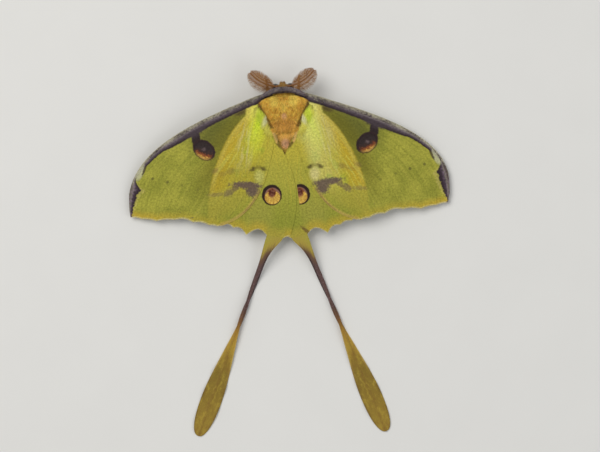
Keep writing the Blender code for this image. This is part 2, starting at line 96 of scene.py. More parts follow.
def acrossAt(y, line):
    # x where a line that runs tailwards passes y
    line = np.array(line)
    return np.interp(-y, -line[:, 1], line[:, 0])


def unit(v):
    return v / np.maximum(np.linalg.norm(v, axis=-1, keepdims=True), 1e-9)


def nearest(points, line):
    # distance from each point to a line of points, and the number of the nearest one
    gaps = np.linalg.norm(points[:, None, :] - line[None, :, :], axis=2)
    return gaps.min(1), gaps.argmin(1)


def around(one, two, angle):
    return one * np.cos(angle)[:, None] + two * np.sin(angle)[:, None]


def toFrame(points):
    return np.asarray(points, float) * mm + np.array(bodyMiddle)


def tint(red, green, blue):
    # a screen colour as Blender's linear one
    def linear(c):
        c /= 255
        return c / 12.92 if c <= 0.04045 else ((c + 0.055) / 1.055) ** 2.4
    return (linear(red), linear(green), linear(blue), 1.0)


# meshes

def objectOf(name, bm=None, mesh=None, angle=50):
    if bm:
        bmesh.ops.recalc_face_normals(bm, faces=bm.faces[:])
        mesh = bpy.data.meshes.new(name)
        bm.to_mesh(mesh)
        bm.free()
    mesh.shade_smooth()
    mesh.set_sharp_from_angle(angle=math.radians(angle))
    made = bpy.data.objects.new(name, mesh)
    bpy.context.scene.collection.objects.link(made)
    return made


def evaluated(piece):
    graph = bpy.context.evaluated_depsgraph_get()
    return bpy.data.meshes.new_from_object(piece.evaluated_get(graph))


def dressed(piece, paint, slot, nodes=()):
    piece.data.materials.clear()
    piece.data.materials.append(paint.material)
    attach(piece, "root")
    if nodes:
        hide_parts(*nodes)
    return piece


def grid(columnCount, rowCount):
    # a flat grid, with the column and the row of each of its points
    bm = bmesh.new()
    bmesh.ops.create_grid(bm, x_segments=columnCount, y_segments=rowCount, size=0.5)
    places = np.array([v.co for v in bm.verts])
    return bm, places[:, 0], np.rint((places[:, 1] + 0.5) * rowCount).astype(int)


def thickened(name, bm, points, offsets, facts):
    # a grid laid on its points, thickened by offsets in metres; facts are what patterns read
    facts = {"offset": offsets, **facts}
    layers = {key: bm.verts.layers.float_vector.new(key) for key in facts}
    places = np.clip(toFrame(points), *cadBox)
    for i, vert in enumerate(bm.verts):
        vert.co = places[i]
        for key, layer in layers.items():
            vert[layer] = facts[key][i]
    under = bm.verts[:]
    top = bmesh.ops.extrude_face_region(bm, geom=bm.faces[:])["geom"]
    for vert in under:
        vert.co -= vert[layers["offset"]]
    for vert in (g for g in top if isinstance(g, bmesh.types.BMVert)):
        vert.co += vert[layers["offset"]]
    bm.verts.layers.float_vector.remove(bm.verts.layers.float_vector["offset"])
    return objectOf(name, bm, angle=60)


def ball(radius, place, segments=20, rings=14):
    bm = bmesh.new()
    bmesh.ops.create_uvsphere(bm, u_segments=segments, v_segments=rings, radius=radius)
    bmesh.ops.translate(bm, verts=bm.verts[:], vec=place)
    return bm


def tube(path, radii, roundness=3):
    # a tapered round tube with closed ends, in millimetres
    curve = bpy.data.curves.new("tube", "CURVE")
    curve.dimensions = "3D"
    curve.bevel_depth = 1.0
    curve.bevel_resolution = roundness
    curve.use_fill_caps = True
    spline = curve.splines.new("POLY")
    spline.points.add(len(path) - 1)
    for point, place, radius in zip(spline.points, path, radii):
        point.co = (*place, 1)
        point.radius = radius
    source = bpy.data.objects.new("tube", curve)
    bpy.context.scene.collection.objects.link(source)
    bm = bmesh.new()
    bm.from_mesh(evaluated(source))
    bpy.data.objects.remove(source)
    bmesh.ops.remove_doubles(bm, verts=bm.verts[:], dist=1e-4)
    return bm


def joined(name, parts, angle=50):
    # several bmeshes in millimetres as one object in the frame
    whole = bmesh.new()
    for part in parts:
        mesh = bpy.data.meshes.new("part")
        bmesh.ops.recalc_face_normals(part, faces=part.faces[:])
        part.to_mesh(mesh)
        part.free()
        whole.from_mesh(mesh)
        bpy.data.meshes.remove(mesh)
    bmesh.ops.scale(whole, verts=whole.verts[:], vec=(mm, mm, mm))
    bmesh.ops.translate(whole, verts=whole.verts[:], vec=bodyMiddle)
    return objectOf(name, whole, angle=angle)


# materials: a socket that takes plain arithmetic, and a material that makes nodes

class Wire:
    def __init__(self, paint, socket):
        self.paint, self.socket = paint, socket

    def math(self, kind, *values):
        return self.paint.node("Math", {"operation": kind}, values)

    def __add__(self, other):
        return self.math("ADD", self, other)

    def __radd__(self, other):
        return self.math("ADD", other, self)

    def __sub__(self, other):
        return self.math("SUBTRACT", self, other)

    def __rsub__(self, other):
        return self.math("SUBTRACT", other, self)

    def __mul__(self, other):
        return self.math("MULTIPLY", self, other)

    def __rmul__(self, other):
        return self.math("MULTIPLY", other, self)

    def __truediv__(self, other):
        return self.math("DIVIDE", self, other)

    def __rtruediv__(self, other):
        return self.math("DIVIDE", other, self)

    def __abs__(self):
        return self.math("ABSOLUTE", self)

    def parts(self):
        split = self.paint.node("SeparateXYZ", inputs=[self])
        return [Wire(self.paint, out) for out in split.socket.node.outputs]

    def noise(self, scale, detail=2, roughness=0.55):
        return self.paint.node("TexNoise", inputs={"Vector": self, "Scale": scale, "Detail": detail,
                                                   "Roughness": roughness})

    def soft(self, start, end):
        return self.paint.node("MapRange", {"interpolation_type": "SMOOTHSTEP"},
                               {"Value": self, "From Min": start, "From Max": end})

    def ramp(self, *stops):
        return self.paint.node("ValToRGB", {"stops": stops}, [self])

    def local(self, x, y, width, height, turn=0):
        # plan coordinates about a mark's centre, 1 at its rim
        return self.paint.node("Mapping", {"vector_type": "TEXTURE"},
                               {"Vector": self, "Location": (x, y, 0), "Rotation": (0, 0, math.radians(turn)),
                                "Scale": (width, height, 1e6)})

    def length(self):
        return self.paint.node("VectorMath", {"operation": "LENGTH"}, [self], out="Value")

    def away(self, *mark):
        return self.local(*mark).length()

    def spot(self, x, y, width, height, turn, blur):
        return self.away(x, y, width, height, turn).soft(1 + blur, 1 - blur)


class Paint:
    def __init__(self, name, **surface):
        self.material = bpy.data.materials.new(name)
        self.material.use_nodes = True
        self.tree = self.material.node_tree
        self.shader = self.tree.nodes["Principled BSDF"]
        for socket, value in surface.items():
            self.shader.inputs[socket.replace("_", " ")].default_value = value

    def node(self, kind, settings=None, inputs=(), out=0):
        made = self.tree.nodes.new("ShaderNode" + kind)
        for name, value in (settings or {}).items():
            if name == "stops":
                ramp = made.color_ramp
                while len(ramp.elements) < len(value):
                    ramp.elements.new(0.5)
                for stop, (place, colour) in zip(ramp.elements, value):
                    stop.position = place
                    stop.color = tint(*colour) if isinstance(colour, tuple) else (colour, colour, colour, 1)
            else:
                setattr(made, name, value)
        named = inputs.items() if isinstance(inputs, dict) else enumerate(inputs)
        for key, value in named:
            if isinstance(value, Wire):
                self.tree.links.new(value.socket, made.inputs[key])
            else:
                made.inputs[key].default_value = value
        return Wire(self, made.outputs[out])

    def read(self, name):
        return self.node("Attribute", {"attribute_name": name}, out="Vector")

    def place(self):
        # object coordinates as millimetres about the moth's middle
        spot = self.node("TexCoord", out="Object")
        return self.node("Mapping", {"vector_type": "TEXTURE"},
                         {"Vector": spot, "Location": tuple(bodyMiddle), "Scale": (mm, mm, mm)})

    def gather(self, x, y, z=0):
        return self.node("CombineXYZ", inputs=[x, y, z])

    def over(self, base, layer, amount, kind="MIX"):
        base, layer = (tint(*tone) if isinstance(tone, tuple) else tone for tone in (base, layer))
        return self.node("Mix", {"data_type": "RGBA", "blend_type": kind}, {0: amount, 6: base, 7: layer}, out=2)

    def layers(self, base, **marks):
        # named marks of a tone and an amount, each over the ones before it
        for tone, amount in marks.values():
            base = self.over(base, tone, amount)
        return base

    def toned(self, colour, tone, red=None):
        return self.over(colour, self.gather(red or tone, tone, tone), 1, "MULTIPLY")

    def finish(self, colour, roughness=None, height=None, strength=0.5, depth=0.0001):
        bump = height and self.node("Bump", inputs={"Strength": strength, "Distance": depth, "Height": height})
        for socket, value in (("Base Color", colour), ("Roughness", roughness), ("Normal", bump)):
            if value:
                self.tree.links.new(value.socket, self.shader.inputs[socket])
        return self


# the sheet that the wings lie on, a rounded cone over the body

roofShape = dict(top=10.3, slope=0.155, roundness=8.0, middle=-6.0,
                 crossUp=0.17, crossReach=8.5, crossWidth=5.5, crossStart=-8.0,
                 dip=1.35, dipReach=3.0, dipStart=-12.5, sink=2.0, sinkReach=(2.6, 4.2), sinkStart=2.0,
                 outline=((7.9, 5.0), (7.5, 0.2), (5.9, -3.0), (4.7, -5.0), (3.2, -8.2), (1.8, -12.0)))
hindTurn = math.radians(1.2)


def roof(side, x, y):
    r = roofShape
    out = np.hypot(x, y - r["middle"])
    cone = r["top"] - r["slope"] * (np.hypot(out, r["roundness"]) - r["roundness"])
    # beside the thorax the sheets dip to where they are rooted
    past = np.abs(x) - acrossAt(y, r["outline"])
    cone = cone - r["dip"] * smooth(1 - past / r["dipReach"]) * smooth((y - r["dipStart"]) / 4.5)
    start, reach = r["sinkReach"]
    cone = cone - r["sink"] * smooth(1 - (np.abs(x) - start) / reach) * smooth((y - r["sinkStart"]) / 2.5)
    if side > 0:
        return cone
    return cone + (r["crossUp"] * smooth((r["crossReach"] + x) / r["crossWidth"])
                   * smooth((r["crossStart"] - y) / r["crossWidth"]))


def turned(x, y):
    return x + y * math.sin(hindTurn), y - x * math.sin(hindTurn)


# wings: edges as Bezier curves, veins as (tip, share from costa to inner edge, scallop after it)

foreWing = dict(
    hind=False, costas={1: ((2.0, 5.4), (38.8, -6.4), (62.1, -15.0), (56.2, -37.3)),
                        -1: ((2.0, 5.4), (38.3, -5.9), (59.0, -16.4), (55.8, -37.3))},
    costa=((2.0, 5.4), (38.5, -6.1), (60.5, -15.7), (56.0, -37.3)),
    marksAlong=((2.0, 5.4), (38.5, -5.6), (57.9, -15.3), (55.3, -37.3)),
    inner=((2.4, -3.6), (4.8, -21.0), (8.8, -38.0), (23.6, -41.5)),
    veins=(((51.8, -38.0), 0.15, 0.35), ((46.6, -38.9), 0.34, 0.5), ((40.3, -38.7), 0.44, 1.1),
           ((33.8, -39.9), 0.54, 0.8), ((28.2, -41.2), 0.66, 0.4), ((25.4, -41.7), 0.82, 0.2)),
    firstScallop=0.3, cellVeins=(2, 3, 4), cellEnd=0.46, rows=110, perGap=12,
    membrane=0.085, veinRise=0.075, veinWidth=0.16, costaHalf=0.34, costaReach=0.9, layer=1.3,
    innerLayer=0.14, innerReach=9.0, ease=0.8, stepWidth=5.0, freeLift=0.25, droop=0.9, droopReach=2.6, sag=0.08)

hindWing = dict(
    hind=True, costa=((4.0, -1.5), (16.5, 2.0), (27.0, -21.0), (28.3, -35.0)),
    inner=((3.0, -6.5), (6.6, -13.2), (-9.8, -22.5), (-1.0, -46.6)),
    veins=(((27.0, -38.6), 0.12, 0.3), ((22.8, -41.5), 0.26, 0.5), ((18.8, -42.9), 0.40, 0.8),
           ((14.4, -45.6), 0.52, 1.5), ((7.2, -46.0), 0.66, 0.0), ((1.6, -47.3), 0.80, 0.2)),
    firstScallop=0.3, cellVeins=(2, 3), cellEnd=0.42, rows=100, perGap=12,
    membrane=0.085, veinRise=0.07, veinWidth=0.16, costaHalf=0.16, costaReach=0.5, sag=0.1)

hindEdgeTable = curveLine(hindWing["costa"], start=0.16)
foreCostaLine, foreInnerLine, hindInnerLine = (
    curveLine(line) for line in (foreWing["costa"], foreWing["inner"], hindWing["inner"]))


def foreWingOf(side):
    # each side's leading edge is its own
    return dict(foreWing, costa=foreWing["costas"][side])


def railsOf(wing):
    costa, inner = np.array(wing["costa"]), np.array(wing["inner"])
    rails = [costa]
    for tip, share, _ in wing["veins"]:
        far = np.array(tip) + mixed(costa[2] - costa[3], inner[2] - inner[3], share)
        rails.append(np.array([mixed(costa[0], inner[0], share), mixed(costa[1], inner[1], share), far, tip]))
    return np.array(rails + [inner])


def wingPoints(wing, gap, across, t):
    # plan places between two veins, with the margin's scallops, and how far behind the leading edge
    rails = railsOf(wing)
    steps = curveLine(rails[:, None], 9)
    lengths = np.linalg.norm(np.diff(steps, axis=1), axis=2).sum(1)
    depths = np.array([wing["firstScallop"]] + [v[2] for v in wing["veins"]])
    t = t * 0.9955  # the fringe takes the last fraction of a millimetre
    t = t - depths[gap] * np.sin(np.pi * across) / lengths[gap] * smooth((t - 0.6) / 0.4)
    point = mixed(bezier(rails[gap], t), bezier(rails[gap + 1], t), across[:, None])
    inside = np.linalg.norm(point - bezier(rails[np.zeros_like(gap)], t), axis=1)
    return point, inside


def foreLift(x, y, away):
    # how far the forewing lies above the hindwing, or above the free sheet beyond it
    w = foreWing
    cover = 1 - smooth((x - acrossAt(y, hindEdgeTable) - w["ease"]) / w["stepWidth"])
    layer = mixed(w["innerLayer"], w["layer"], smooth(away / w["innerReach"]))
    return mixed(w["freeLift"], layer, cover)


def placed(wing, side, point, inside, t):
    # a wing's plan points in space
    x, y = side * point[:, 0], point[:, 1]
    if wing["hind"]:
        return *turned(x, y), roof(side, *turned(x, y))
    roll = wing["droop"] * np.exp(-((inside / wing["droopReach"]) ** 2)) * smooth(t * 4) * smooth((1 - t) * 3)
    lift = foreLift(point[:, 0], y, nearest(point, foreInnerLine)[0])
    return x, y, roof(side, x, y) + lift - roll


def costaThick(wing, inside, t):
    # half the thickness that the leading edge adds
    return (wing["costaHalf"] - wing["membrane"]) * np.exp(-((inside / wing["costaReach"]) ** 2)) * (1 - 0.55 * t)


def leadingRound(wing, inside):
    # the leading edge is round, not square
    return np.sqrt(np.maximum(0.015, 1 - (1 - np.minimum(inside / (wing["costaHalf"] * 1.2), 1)) ** 2))


def makeWing(name, wing, side):
    rails = railsOf(wing)
    gaps, per = len(rails) - 1, wing["perGap"]
    bm, place, row = grid(gaps * per, wing["rows"])
    column = np.rint((place + 0.5) * gaps * per).astype(int)
    t = 1 - (1 - row / wing["rows"]) ** 1.2
    gap = np.minimum(column // per, gaps - 1)
    slot = column - gap * per
    width = np.maximum(np.linalg.norm(bezier(rails[gap + 1], t) - bezier(rails[gap], t), axis=1), 0.01)

    # columns stand close together at each vein's crest and foot, and evenly between them
    near = np.array([0.0, 0.1, 0.22, 0.42])
    low = np.minimum(slot, per - slot)
    foot = np.minimum(near[3] / width, 3 / per)
    share = np.where(low <= 3, np.minimum(near[np.minimum(low, 3)] / width, low / per),
                     foot + (low - 3) / (per / 2 - 3) * (0.5 - foot))
    across = np.where(slot <= per / 2, share, 1 - share)
    point, inside = wingPoints(wing, gap, across, t)

    vein = gap + (slot > per / 2)
    inCell = np.isin(vein, wing["cellVeins"]) & (t < wing["cellEnd"])
    closing = (gap >= 1) & (gap <= wing["cellVeins"][-1])
    veinGap = np.where(inCell, 9.0, share * width)
    veinGap = np.where(closing, np.minimum(veinGap, np.abs(t - wing["cellEnd"]) * 48), veinGap)
    half = wing["membrane"] + wing["veinRise"] * np.exp(-((veinGap / wing["veinWidth"]) ** 2))
    innerAway = nearest(point, curveLine(wing["inner"]))[0]
    half = (half + costaThick(wing, inside, t)) * mixed(0.45, 1.0, smooth(innerAway / 1.6))
    half = half * leadingRound(wing, inside)

    x, y, z = placed(wing, side, point, inside, t)
    away = smooth(innerAway / 4.0)
    z = z - wing["sag"] * np.sin(np.pi * across) * smooth(t * 3) * (inside > 1.5) * away
    z = z + 0.05 * np.sin(point[:, 0] * 0.9 + point[:, 1] * 0.35) * smooth(t * 2) * away

    # what the patterns read: place, course along the veins, and distances to edges
    rimGap = np.repeat(np.arange(gaps), 24)
    rimLine = wingPoints(wing, rimGap, np.tile(np.linspace(0, 1, 24), gaps), np.ones(gaps * 24))[0]
    costaAway = nearest(point, curveLine(wing["costa"], 400))[0]
    costaNumber = nearest(point, curveLine(wing.get("marksAlong", wing["costa"]), 400))[1]
    pastHind = point[:, 0] - np.maximum(acrossAt(point[:, 1], hindEdgeTable), 13.4)
    return thickened(name, bm, columns(x, y, z), columns(0, 0, half * mm), {
        "plan": columns(point[:, 0], point[:, 1], side * 10.0),
        "course": columns(gap + across, t, nearest(point, rimLine)[0]),
        "edge": columns(costaAway, costaNumber / 399, pastHind),
        "line": columns(veinGap, innerAway, 0)})


# scales and their markings; marks are (x, y, half width, half height, turn)

def wingBase(name, broadScale):
    # what both wings' patterns start from
    paint = Paint(name, Roughness=0.72, Sheen_Weight=0.1, Sheen_Roughness=0.45, Sheen_Tint=tint(230, 225, 150),
                  Specular_IOR_Level=0.15)
    plan, course, edge, line = (paint.read(n) for n in ("plan", "course", "edge", "line"))
    broad = plan.noise(broadScale, 3)
    wobble = plan.noise(0.9, 3) - 0.5
    grain, dust = plan.noise(1.5, 4, 0.75), plan.noise(5.5, 2, 0.7)
    along, reach, _ = course.parts()
    # a value that runs along the veins and changes across them
    path = paint.gather(along * 3.2 + broad * 0.6, reach * 1.5, plan.parts()[2])
    return paint, plan, course, edge, line, broad, wobble, grain, dust, path.noise(2.2, 4, 0.6)


def middleTone(paint, plan, streak, broad):
    # the middle of the moth, where forewing and hindwing look like one
    y = plan.parts()[1]
    return paint.layers(
        (166, 160, 60), tailwards=((140, 142, 50), (y + broad * 6).soft(-22, -38)),
        gold=((186, 164, 56), streak.soft(0.52, 0.68) * y.soft(-42, -24) * 0.6),
        green=((150, 156, 50), streak.soft(0.46, 0.34) * 0.4),
        front=((188, 172, 58), y.soft(-24, -16) * 0.6))


def wingFinish(paint, colour, grain, dust):
    tone = (grain - 0.5) * 1.7 + (dust - 0.5) * 0.6 + 1
    colour = paint.toned(colour, tone, tone + (dust - 0.5) * 0.6)
    return paint.finish(colour, grain * 0.2 + 0.62, dust * 0.6 + grain * 0.4, 0.55, 0.00009)


wingMarks = dict(
    cell=(22.5, -9.6, 11.5, 5.6, -24), pink=(13.8, -13, 3.2, 10, 12, 0.7), glow=(10.5, -1.5, 5, 3.4, -15, 0.6),
    lime=(9.2, -8, 2.8, 8, 14, 0.7), bright=(8.7, -4.8, 1, 4.6, 16, 0.7), white=(6.9, -5.9, 0.8, 2, 26, 0.6),
    # rooted marks where a painted shadow line lies beside the thorax
    rooted=(6.1, -3.6, 0.4, 5.2, -23, 0.6), notch=(15, -2.3, 2.2, 1, -20, 0.7),
    brown=((14.2, -27.8, 5.6, 1.3, 5), (12.3, -29.5, 2.4, 2.9, -34), (20.6, -30.1, 2, 1.2, -30),
           (18.2, -28.7, 2, 0.9, -32), (25.2, -30.6, 2.6, 0.7, -4)),
    brownAmounts=((1.3, 1), (1.3, 1), (1.4, 0.66), (1.4, 0.7), (1.5, 0.4)),
    smudges=((19.4, -22.6, 1.5, 1, -20, 0.4), (25, -22.3, 1.3, 0.8, -30, 0.45), (22.4, -23.5, 1.6, 0.8, -10, 0.25)),
    dots=((47.3, -23.9, 0.5, 0.6), (42.1, -25.3, 0.55, 0.6), (37, -26.8, 0.5, 0.35), (31.5, -28.5, 0.5, 0.3)),
    pale=(9.7, -24.9, 1.6, 2.2, 0, 0.6), hook=(10, -23, 2, 1.25), stalk=(31.25, -10.6, 3.6, 1.6, 84),
    flare=(31.9, -7.4, 4.6, 2.2, -22), eye=(28.6, -14.85, 3.95, 2.95, 40), crescent=(28.5, -14.9, 3.3, 3.3, -66),
    pupil=(28.7, -14.5, 0.7, 0.5, -20, 0.7), flash=(51.7, -21.5, 2.9, 1.2, -65, 0.35),
    # dusk is the dark olive of painted shade on the forewing
    apex=(50.1, -20.7, 2, 0.42, -66), smudge=(112, 88, 58), dusk=(86, 87, 36),
    margin=(188, 160, 54), fringe=(198, 188, 134), vein=(182, 170, 84), costaMid=(84, 73, 80), costaDark=(48, 37, 40),
    # half width of the dark band along the leading edge, in fifths of a millimetre, and its tones from the edge
    bandWidth=((0, 0.56), (0.12, 0.54), (0.24, 0.63), (0.35, 0.68), (0.42, 0.66), (0.48, 0.57), (0.52, 0.42),
               (0.62, 0.36), (0.68, 0.28), (0.72, 0.2), (0.765, 0.12), (0.785, 0.24), (0.828, 0.74), (0.86, 0.54),
               (0.91, 0.42), (0.97, 0.2), (1, 0.1)),
    bandTones=((0, (146, 144, 118)), (0.16, (170, 164, 140)), (0.32, (142, 134, 122)), (0.46, (112, 101, 104)),
               (0.6, (84, 73, 80)), (0.76, (66, 54, 60)), (0.92, (48, 37, 40))),
    eyeTones=((0, (40, 30, 28)), (0.42, (52, 42, 42)), (0.6, (64, 44, 38)), (0.7, (118, 64, 38)),
              (0.79, (140, 84, 44)), (0.85, (184, 136, 62)), (0.96, (206, 164, 84))))


def foreWingScales():
    m = wingMarks
    paint, plan, course, edge, line, broad, wobble, grain, dust, streak = wingBase("foreWingScales", 0.16)
    x, y, side = plan.parts()
    rim = course.parts()[2]
    costa, costaShare, past = edge.parts()
    vein, inner, _ = line.parts()
    left = side.soft(5, -5)
    right = 1 - left
    tipPlan = paint.gather(x - right * 1.2, y - right * 0.7)
    costaShare = costaShare + right * costaShare.soft(0.68, 0.75) * 0.024
    ragged = (grain - 0.5) * 1.5 + wobble * 0.9

    # painted light: over the hindwing the forewing is painted brighter, as two thin layers give back more light than
    # one, and streaks follow the veins
    pinkish = paint.gather(x * 0.9 + y * 0.2, y * 0.1, side).noise(1.3, 3).soft(0.44, 0.6)
    lobe = paint.layers(
        (182, 157, 44), inner=((177, 166, 52), past.soft(-2, -8)),
        brown=((172, 146, 60), streak.soft(0.56, 0.68) * 0.6), pale=((190, 184, 78), streak.soft(0.48, 0.38) * 0.65),
        green=((150, 164, 48), plan.noise(0.34, 3).soft(0.5, 0.66) * past.soft(-3, -9) * 0.7),
        pink=((190, 180, 110), plan.spot(*m["pink"]) * pinkish * 0.75),
        glow=((216, 208, 96), plan.spot(*m["glow"]) * 0.75), lime=((204, 215, 56), plan.spot(*m["lime"]) * 0.7),
        bright=((192, 214, 44), plan.spot(*m["bright"]) * (0.8 - left * 0.15)),
        white=((208, 210, 168), plan.spot(*m["white"]) * (streak * 1.6 - 0.1)),
        right=((212, 206, 132), right * x.soft(22, 6) * 0.5), left=((150, 136, 44), left * y.soft(-16, -25) * 0.4),
        low=((163, 155, 60), y.soft(-27.5, -33) * 0.8),
        rim=((186, 170, 74), abs(past + 0.9).soft(1.3, 0.1) * y.soft(-32, -24) * 0.6))

    # brown marks, made of scattered scales
    mark = None
    for place, (start, amount) in zip(m["brown"], m["brownAmounts"]):
        one = (plan.away(*place) + ragged).soft(start, 0.6) * amount
        mark = mark.math("MAXIMUM", mark, one) if mark else one
    arc = plan.local(*m["hook"])
    aside, rise, _ = arc.parts()
    hook = abs(arc.length() - 1 + ragged * 0.5).soft(0.75, 0.1) * rise.soft(-0.35, 0.3)
    lowEdge = y.soft(-28, -34)
    seam = abs(inner - 0.35 + wobble * 0.4).soft(0.4, 0.1) * lowEdge
    colour = paint.layers(
        (138, 138, 50), yellow=((164, 160, 62), (broad * 0.6 + streak * 0.5).soft(0.42, 0.7)),
        # painted shade: the dark olive about the cell
        cell=(m["dusk"], plan.away(*m["cell"]).soft(1.35, 0.45) * 0.85),
        # painted shadow: a darker band just outside the lobe, fading outwards
        besideLobe=((112, 107, 32), past.soft(9, 1) * y.soft(-38, -22) * 0.75),
        # painted shade: the dark olive along the leading edge
        front=(m["dusk"], costa.soft(5.5, 1) * x.soft(50, 30) * 0.4),
        # painted light: the lobe over the hindwing laid on brighter than the single forewing beyond it
        lobe=(lobe, (past + wobble * 0.8).soft(0.5, -0.6) * (y.soft(-42, -28) * 0.4 + 0.6)),
        inwards=(middleTone(paint, plan, streak, broad), (inner + wobble * 2).soft(5, 0.5) * y.soft(-8, -15)),
        # painted shadow: a thin dark line on the forewing along the thorax's side
        rooted=((104, 88, 40), plan.spot(*m["rooted"]) * 0.6),
        notch=((74, 56, 36), plan.spot(*m["notch"]) * (past + wobble).soft(-0.9, 0.2) * 0.75),
        vein=(m["vein"], vein.soft(0.4, 0.05) * 0.07), brown=((96, 76, 74), mark * 0.9),
        **{f"smudge{i}": (m["smudge"], plan.spot(*place, 0.6) * amount)
           for i, (*place, amount) in enumerate(m["smudges"])},
        pale=(paint.over((200, 190, 120), (186, 182, 98), left),
              plan.spot(*m["pale"]) * (grain * 1.2 + 0.4 - left * 0.2)),
        hook=((84, 74, 38), hook * (abs(aside).soft(0.3, 0.85) * 0.4 + 0.5)),
        **{f"dot{i}": ((70, 66, 36), tipPlan.spot(cx, cy, size, size, 0, 0.4) * amount)
           for i, (cx, cy, size, amount) in enumerate(m["dots"])},
        margin=(m["margin"], (rim + wobble * 1.2).soft(3.4, 0.3) * (x.soft(34, 54) * 0.45 + 0.4)),
        fringe=(m["fringe"], rim.soft(0.5, 0.2) * 0.65),
        innerEdge=((184, 158, 80), inner.soft(1.5, 0.5) * lowEdge * 0.75),
        seam=(m["smudge"], seam * (0.5 - x.soft(14.5, 18.5) * 0.38)),
        tan=((168, 156, 84), costa.soft(3.4, 2.2) * costaShare.soft(0.5, 0.4) * 0.4))

    # the leading edge
    width = costaShare.ramp(*m["bandWidth"]) + right * costaShare.soft(0.82, 0.88) * costaShare.soft(1, 0.96) * 0.18
    tip = costaShare.soft(0.78, 0.82)
    band = costa / (width * 5 + wobble * (tip * 1.2 + 0.5) + (grain - 0.5) * (tip + 0.9))
    lilac = plan.noise(1.1, 3, 0.7).soft(0.47, 0.6)
    bandTone = paint.layers(
        # the band darkens towards its root
        (band + wobble * 0.3).ramp(*m["bandTones"]), rooted=(m["costaDark"], costaShare.soft(0.09, 0.05) * 0.8),
        violet=((50, 36, 45), tip * band.soft(0.2, 0.5) * 0.7), grey=((84, 72, 70), tip * band.soft(0.4, 0.2) * 0.75),
        lilac=((138, 112, 138), tip * lilac * band.soft(0.8, 0.2) * 0.5))

    # the eye mark on its stalk, which joins the band
    rough = (grain - 0.5) * 0.6 + wobble * 0.3
    stalk, flare = ((plan.away(*m[key]) + rough).soft(start, end)
                    for key, start, end in (("stalk", 1.2, 0.8), ("flare", 1.3, 0.7)))
    eye = plan.local(*m["eye"])
    down = plan.local(*m["crescent"]).parts()[0]
    away = eye.length() + wobble * 0.16 + (grain - 0.5) * 0.2
    inEye = (down * 0.46 + away * away * 0.16 + wobble * 0.2 + (grain - 0.5) * 0.36 + 0.46
             - eye.parts()[0].soft(0.45, 1) * 0.25).ramp(*m["eyeTones"])
    ring = abs(away - 0.98 + down * 0.03).soft(0.17, 0.06)
    colour = paint.layers(
        colour, cream=((192, 174, 106), abs(band - 1.22).soft(0.34, 0.08) * tip * 0.32),
        band=(bandTone, band.soft(1.1, 0.94)),
        stalk=(paint.over((46, 35, 36), m["costaMid"], band.soft(1.6, 0.8) * 0.5),
               stalk.math("MAXIMUM", stalk, flare) * band.soft(0.35, 0.8)),
        halo=((84, 60, 36), away.soft(1.18, 1) * 0.85), eye=(inEye, away.soft(1.03, 0.93)),
        pupil=((128, 108, 108), plan.spot(*m["pupil"]) * (grain * 0.8)),
        ring=((44, 30, 34), ring * down.soft(1.3, 0.1) * 0.9),
        # the apex: a pale flash between two dark ends
        flash=((186, 184, 150), tipPlan.spot(*m["flash"]) * 0.75),
        apex=((58, 42, 36), (tipPlan.away(*m["apex"]) + (grain - 0.5) * 0.8).soft(1.3, 0.7) * 0.8))
    return wingFinish(paint, colour, grain, dust)


hindMarks = dict(pale=(9.5, -38, 4.5, 6, 10, 0.6), shadow=(2.3, -14.1, 0.5, 2, -36, 0.6),
                 stain=(6.9, -44.6, 2.6, 0.55, -39), eye=(4.95, -31.73, 3.5, 3.65), mauve=(4.72, -32, 2.8, 2.9),
                 gold=(4.75, -32.6, 2.75, 2.4), pupil=(4.9, -30.95, 1.25, 1.4), dust=(4.9, -32.1, 0.8, 1, 0, 0.5),
                 glint=(4.6, -30.4, 0.75, 0.34, 20, 0.3), tail=(4.85, 5.05, 6.15, 5.95))


